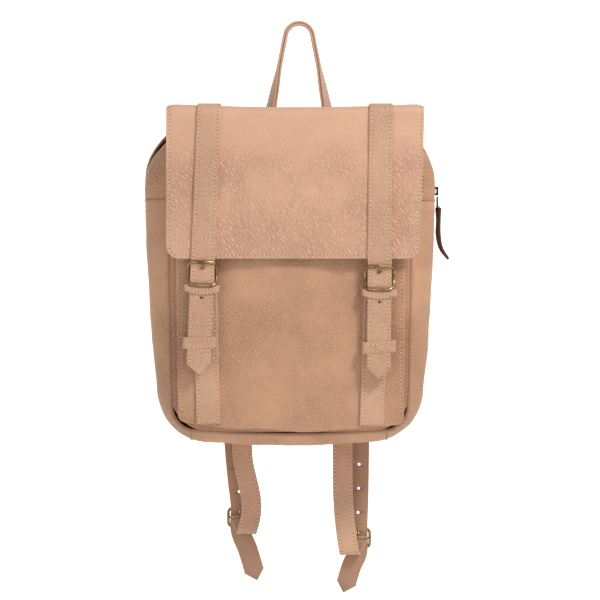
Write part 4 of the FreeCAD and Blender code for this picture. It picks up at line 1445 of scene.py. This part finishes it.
def curve_through(knots, count):
    """Smooth line through (x, z) knots by Catmull-Rom, with a width factor at each."""
    ends = [tuple(2 * a - b for a, b in zip(knots[0], knots[1]))] + list(knots)
    ends += [tuple(2 * a - b for a, b in zip(knots[-1], knots[-2]))]
    line = []
    for p0, p1, p2, p3 in zip(ends, ends[1:], ends[2:], ends[3:]):
        for i in range(count):
            t = i / count
            line.append(tuple(0.5 * (2 * b + (c - a) * t + (2 * a - 5 * b + 4 * c - d) * t * t
                                     + (3 * b - a - 3 * c + d) * t ** 3)
                              for a, b, c, d in zip(p0, p1, p2, p3)))
    return line + [tuple(knots[-1])]


# side, middle at the bag's edge behind and in front, buckle x and z, how far the end swings
# and hangs, and how far the slack front run and its turn stand to the side of the buckle
LOOPS = (("left", -69.0, -60.0, -62.0, -509.0, 17.0, 66.0, 9.5, 7.5),
         ("right", 64.0, 46.0, 62.0, -531.0, -14.0, 57.0, -5.0, -9.5))
HOLE_STEP = 25.5           # between the holes that set the strap's length, mm
BAR_Y = BACK_FACE - 2.4
LOOP_TOP_Z, LOWER_RUN, LOWER_TOP_Z, TURN_DROP = -433.0, 9.0, -438.0, 12.0
for side, top_x, front_x, buckle_x, buckle_z, tail_x, tail_drop, slack_x, turn_x in LOOPS:
    sign = -1 if side == "left" else 1
    root_x = (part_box("yoke")[0].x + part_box("yoke")[1].x) / 2 / MM + sign * 27.0
    narrow = LOOP_WIDTH / SHOULDER_WIDTH
    knots = [(root_x, -131.0, 1.0), (root_x + sign * 5, -190.0, 1.0),
             (top_x - sign * 22, -270.0, 1.0), (top_x - sign * 9, -325.0, 0.98),
             (top_x, -376.0, narrow), (top_x, -424.0, narrow),
             (top_x + (buckle_x - top_x) * 0.5, buckle_z + 42.0, narrow),
             (buckle_x, buckle_z + 12.0, narrow), (buckle_x, buckle_z - 14.0, narrow),
             (buckle_x + tail_x * 0.45, buckle_z - tail_drop * 0.52, narrow),
             (buckle_x + tail_x * 0.86, buckle_z - tail_drop + 9.0, narrow)]
    line = curve_through(knots, 12)
    points, wides = [], []
    for x, z, wide in line:
        drop = max(0.0, (LOOP_TOP_Z - z) / 100.0)
        wave = 0.6 * math.sin(z / 23.0) * min(1.0, drop * 2)
        below = max(0.0, buckle_z - 16 - z) / 50.0
        points.append((Vector((x, BACK_FACE - 0.1 + wave - 1.6 * below ** 2, z)) * MM, BACK_WAY))
        wides.append(min(1.0, wide))
    tip_run = (points[-1][0] - points[-2][0]).normalized()
    last = points[-1][0]
    for reach, f in tip_shape(6, 10.0, 0.05):
        points.append((last + tip_run * reach * MM, BACK_WAY))
        wides.append(narrow * f)
    frames = frames_along(points, wides)
    strap = finish_piece("shoulder_strap_" + side + "_leather",
                         strap_mesh(frames, SHOULDER_WIDTH, edge=0.8, crown=0.3),
                         strap_materials,
                         replaced=("shoulder_strap_" + side, "strap_tail_" + side))
    flat_frames = frames_along(points)
    rows = [[(f @ Vector((a * (w * SHOULDER_WIDTH / 2 - 2.6), STRAP_THICK - 0.1, 0)), BACK_WAY)
             for f, w in zip(flat_frames[2:-6], wides[2:-6])] for a in (-1, 1)]
    sewn = stitches("shoulder_strap_" + side + "_stitches", rows)
    spots = []
    for lift in [5.5] + [1.5 + HOLE_STEP * i for i in range(1, 4)
                         if HOLE_STEP * i < LOOP_TOP_Z - buckle_z]:
        place = min(points, key=lambda pn, z=(buckle_z + lift) * MM: abs(pn[0].z - z))[0]
        spots.append(Vector((place.x, place.y, (buckle_z + lift) * MM)))
    punch(strap, spots, 1.5)

    bend = LOWER_RUN / 2
    down = [(front_x, -LOWER_RUN, z) for z in (-418.0, -423.0, -428.0, -433.0, -438.0)]
    for i in range(1, 15):
        f = i / 14
        ease = f * f * (3 - 2 * f)
        down.append((front_x + (buckle_x + turn_x - front_x) * ease
                     + slack_x * math.sin(math.pi * f) * f,
                     -LOWER_RUN - 0.8 * math.sin(math.pi * f),
                     LOWER_TOP_Z + (buckle_z - TURN_DROP - LOWER_TOP_Z) * f))
    pairs = [(Vector((x, BAR_Y + y, z)) * MM, FRONT_WAY) for x, y, z in down]
    for i in range(1, 11):
        a = math.pi * i / 10
        pairs.append((Vector((buckle_x + turn_x * (1 - 0.3 * i / 10),
                              BAR_Y - bend - bend * math.cos(a),
                              buckle_z - TURN_DROP - bend * math.sin(a))) * MM,
                      Vector((0, -math.cos(a), -math.sin(a)))))
    pairs += [(Vector((buckle_x + turn_x * 0.7 * (1 - i / 5), BAR_Y + 0.3,
                       buckle_z - TURN_DROP + 2.4 * i)) * MM, BACK_WAY) for i in range(1, 5)]
    pairs += [(Vector((buckle_x, BAR_Y + 0.6 * math.cos(a), buckle_z + 0.6 * math.sin(a))) * MM,
               Vector((0, math.cos(a), math.sin(a)))) for a in (0.0, 0.8, 1.6, 2.4, 3.1)]
    frames = frames_along(pairs)
    section = [(u, n - STRAP_THICK / 2) for u, n in strap_outline(LOOP_WIDTH, STRAP_THICK)]
    lower = finish_piece("lower_strap_" + side + "_leather",
                         sweep(bmesh.new(), section, frames, edge_from=LOOP_WIDTH / 2 - 0.45),
                         strap_materials,
                         replaced=("lower_strap_" + side, "lower_anchor_" + side))
    lift = STRAP_THICK / 2 - 0.25
    rows = [[(f @ Vector((a * (LOOP_WIDTH / 2 - STITCH_INSET), lift, 0)), n)
             for f, (_, n) in zip(frames[:28], pairs)] for a in (-1, 1)]
    lower_sewn = stitches("lower_strap_" + side + "_stitches", rows)
    for piece in (strap, sewn):
        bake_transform(piece)
    for piece in (lower, lower_sewn):
        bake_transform(piece)

    place = hardware_place(buckle_x, BAR_Y, buckle_z, spin=180.0)
    finish_buckle("loop_buckle_", side, LOOP_WIDTH, place,
                  ("strap_loop_" + side, "strap_prong_" + side),
                  ("strap_buckle_" + side, "strap_prong_" + side))

yoke_low, yoke_high = box_mm("yoke")


def yoke_at(x, s):
    middle = (yoke_low.x + yoke_high.x) / 2
    across = (x - middle) / (yoke_high.x - middle)
    over = 0.5 * math.sin(math.pi * min(1.0, abs(across) * 1.1))
    return Vector((x, yoke_high.y + over, yoke_high.z - s)) * MM


yoke_run = yoke_high.z - yoke_low.z
leather_sheet("yoke_leather",
              surface_grid(stops_along(yoke_low.x, yoke_high.x, 3.5),
                           stops_along(0.0, yoke_run, 3.5), yoke_at, corner=YOKE_CORNER,
                           last_only=False), YOKE_THICK, body_materials,
              facing=BACK_WAY, body="bag", replaced=("yoke",))


def box_border(x0, x1, s0, s1, corner):
    """Closed line round a box with rounded corners, as (x, s) places."""
    line = []
    for cx, cs, start in ((x1 - corner, s1 - corner, 0), (x0 + corner, s1 - corner, 90),
                          (x0 + corner, s0 + corner, 180), (x1 - corner, s0 + corner, 270)):
        line += [(cx + corner * math.cos(a), cs + corner * math.sin(a))
                 for a in [math.radians(start + 11.25 * i) for i in range(9)]]
    return line + line[:1]


stitches("yoke_stitches", [[(yoke_at(x, s), BACK_WAY) for x, s in
                            box_border(yoke_low.x + EDGE_ROW, yoke_high.x - EDGE_ROW, EDGE_ROW,
                                       yoke_run - EDGE_ROW, 7.0)]], "bag")

# ---- zip slider and pull -----------------------------------------------------------------
# The slider is blackened brass, two plates on a wedge with a bridge, and a split ring on the
# bridge carries a dark leather pull that has curled outwards in use.

dark_metal = antique_brass("blackened_zip_brass", "5a4a38", "2b2320")

slider_low, slider_high = box_mm("zip_slider")
slider_z = (slider_low.z + slider_high.z) / 2
slider = bmesh.new()
for x0, x1, half_y, z0, z1, round_off in (
        (slider_high.x - 5.2, slider_high.x - 3.2, 4.6, -5.0, 5.0, 1.2),
        (slider_low.x, slider_low.x + 1.6, 4.6, -5.0, 5.0, 1.2),
        (slider_low.x + 1.0, slider_high.x - 4.0, 1.4, -4.0, 4.0, 0.4),
        (slider_high.x - 3.5, slider_high.x, 1.6, -4.8, -2.4, 0.9),
        (slider_high.x - 3.5, slider_high.x, 1.6, 1.8, 4.4, 0.9),
        (slider_high.x - 2.3, slider_high.x, 1.6, -4.6, 4.2, 0.9)):
    middle = Vector(((x0 + x1) / 2, ZIP_Y, slider_z + (z0 + z1) / 2)) * MM
    size = Matrix.Diagonal(((x1 - x0) * MM, 2 * half_y * MM, (z1 - z0) * MM, 1))
    add_block(slider, Matrix.Translation(middle) @ size, round_off * 0.6, 3)
finish_piece("zip_slider_body", slider, (dark_metal,), "zip_slider", ("zip_slider",), "zip_metal",
             clean=False)

RING_WIRE = 0.9
ring_low, ring_high = box_mm("pull_ring")
ring_middle, ring_radius = (ring_low + ring_high) / 2, (ring_high.z - ring_low.z) / 2 - RING_WIRE
ring_line = [(ring_middle.x, ring_middle.y + ring_radius * math.cos(a),
              ring_middle.z + ring_radius * math.sin(a))
             for a in [2 * math.pi * i / 40 for i in range(40)]]
finish_piece("zip_pull_ring", wire(bmesh.new(), ring_line, RING_WIRE, closed=True,
                                   out=RIGHT_WAY), (dark_metal,), "zip_pull",
             ("pull_ring",), "zip_metal")

pull_hide = milled_leather("dark_pull_hide", "5e3c32", 0.5, spacing=1.2, stretch=0.7,
                           roughness=0.42)
pull_edge = bare_hide("dark_cut_edge", "5c3b33", *CUT_EDGE)
PULL_TWIST = math.radians(38.0)
pull_low, pull_high = box_mm("zip_pull")
pull_knots = [(pull_low.x + 1.8, pull_high.z + 1.5, 1.0), (pull_low.x + 1.8, -195.0, 0.72),
              (pull_low.x + 1.6, -210.0, 0.80), (pull_low.x + 4.6, -224.5, 0.62),
              (pull_high.x - 2.4, pull_low.z + 1.6, 0.24)]
pull_line = curve_through(pull_knots, 8)
pull_points = [(Vector((x, ZIP_Y, z)) * MM, RIGHT_WAY) for x, z, _ in pull_line]
for i, (place, _) in enumerate(pull_points):
    ahead = pull_points[min(i + 1, len(pull_points) - 1)][0]
    behind = pull_points[max(i - 1, 0)][0]
    run = ahead - behind
    turned = Matrix.Rotation(-PULL_TWIST, 3, run.normalized()) @ Vector((-run.z, 0, run.x))
    pull_points[i] = (place, turned.normalized())
pull_frames = frames_along(pull_points, [min(1.0, w) for _, _, w in pull_line])
pull_section = [(u, n - 1.1) for u, n in strap_outline(9.0, 2.2, rows=False)]
pull_mesh = sweep(bmesh.new(), pull_section, pull_frames, edge_from=4.2)
finish_piece("zip_pull_leather", pull_mesh, (pull_hide, pull_edge, pull_hide), "zip_pull",
             ("zip_pull",), "pull_leather")
fold_line = [(pull_low.x + 1.2 - 1.5 * math.cos(a) * 1.1, ZIP_Y, pull_high.z + 1.2
              + 1.9 * math.sin(a)) for a in [math.pi * i / 8 for i in range(9)]]
fold_frames = [frame_at(Vector(p) * MM, Vector((math.sin(a), 0, math.cos(a))),
                        Vector((-math.cos(a), 0, math.sin(a))))
               for p, a in zip(fold_line, [math.pi * i / 8 for i in range(9)])]
fold_section = [(u, n - 0.6) for u, n in strap_outline(7.6, 1.2, rows=False)]
finish_piece("zip_pull_fold", sweep(bmesh.new(), fold_section, fold_frames, edge_from=3.6),
             (pull_hide, pull_edge, pull_hide), "zip_pull", (), "pull_leather")
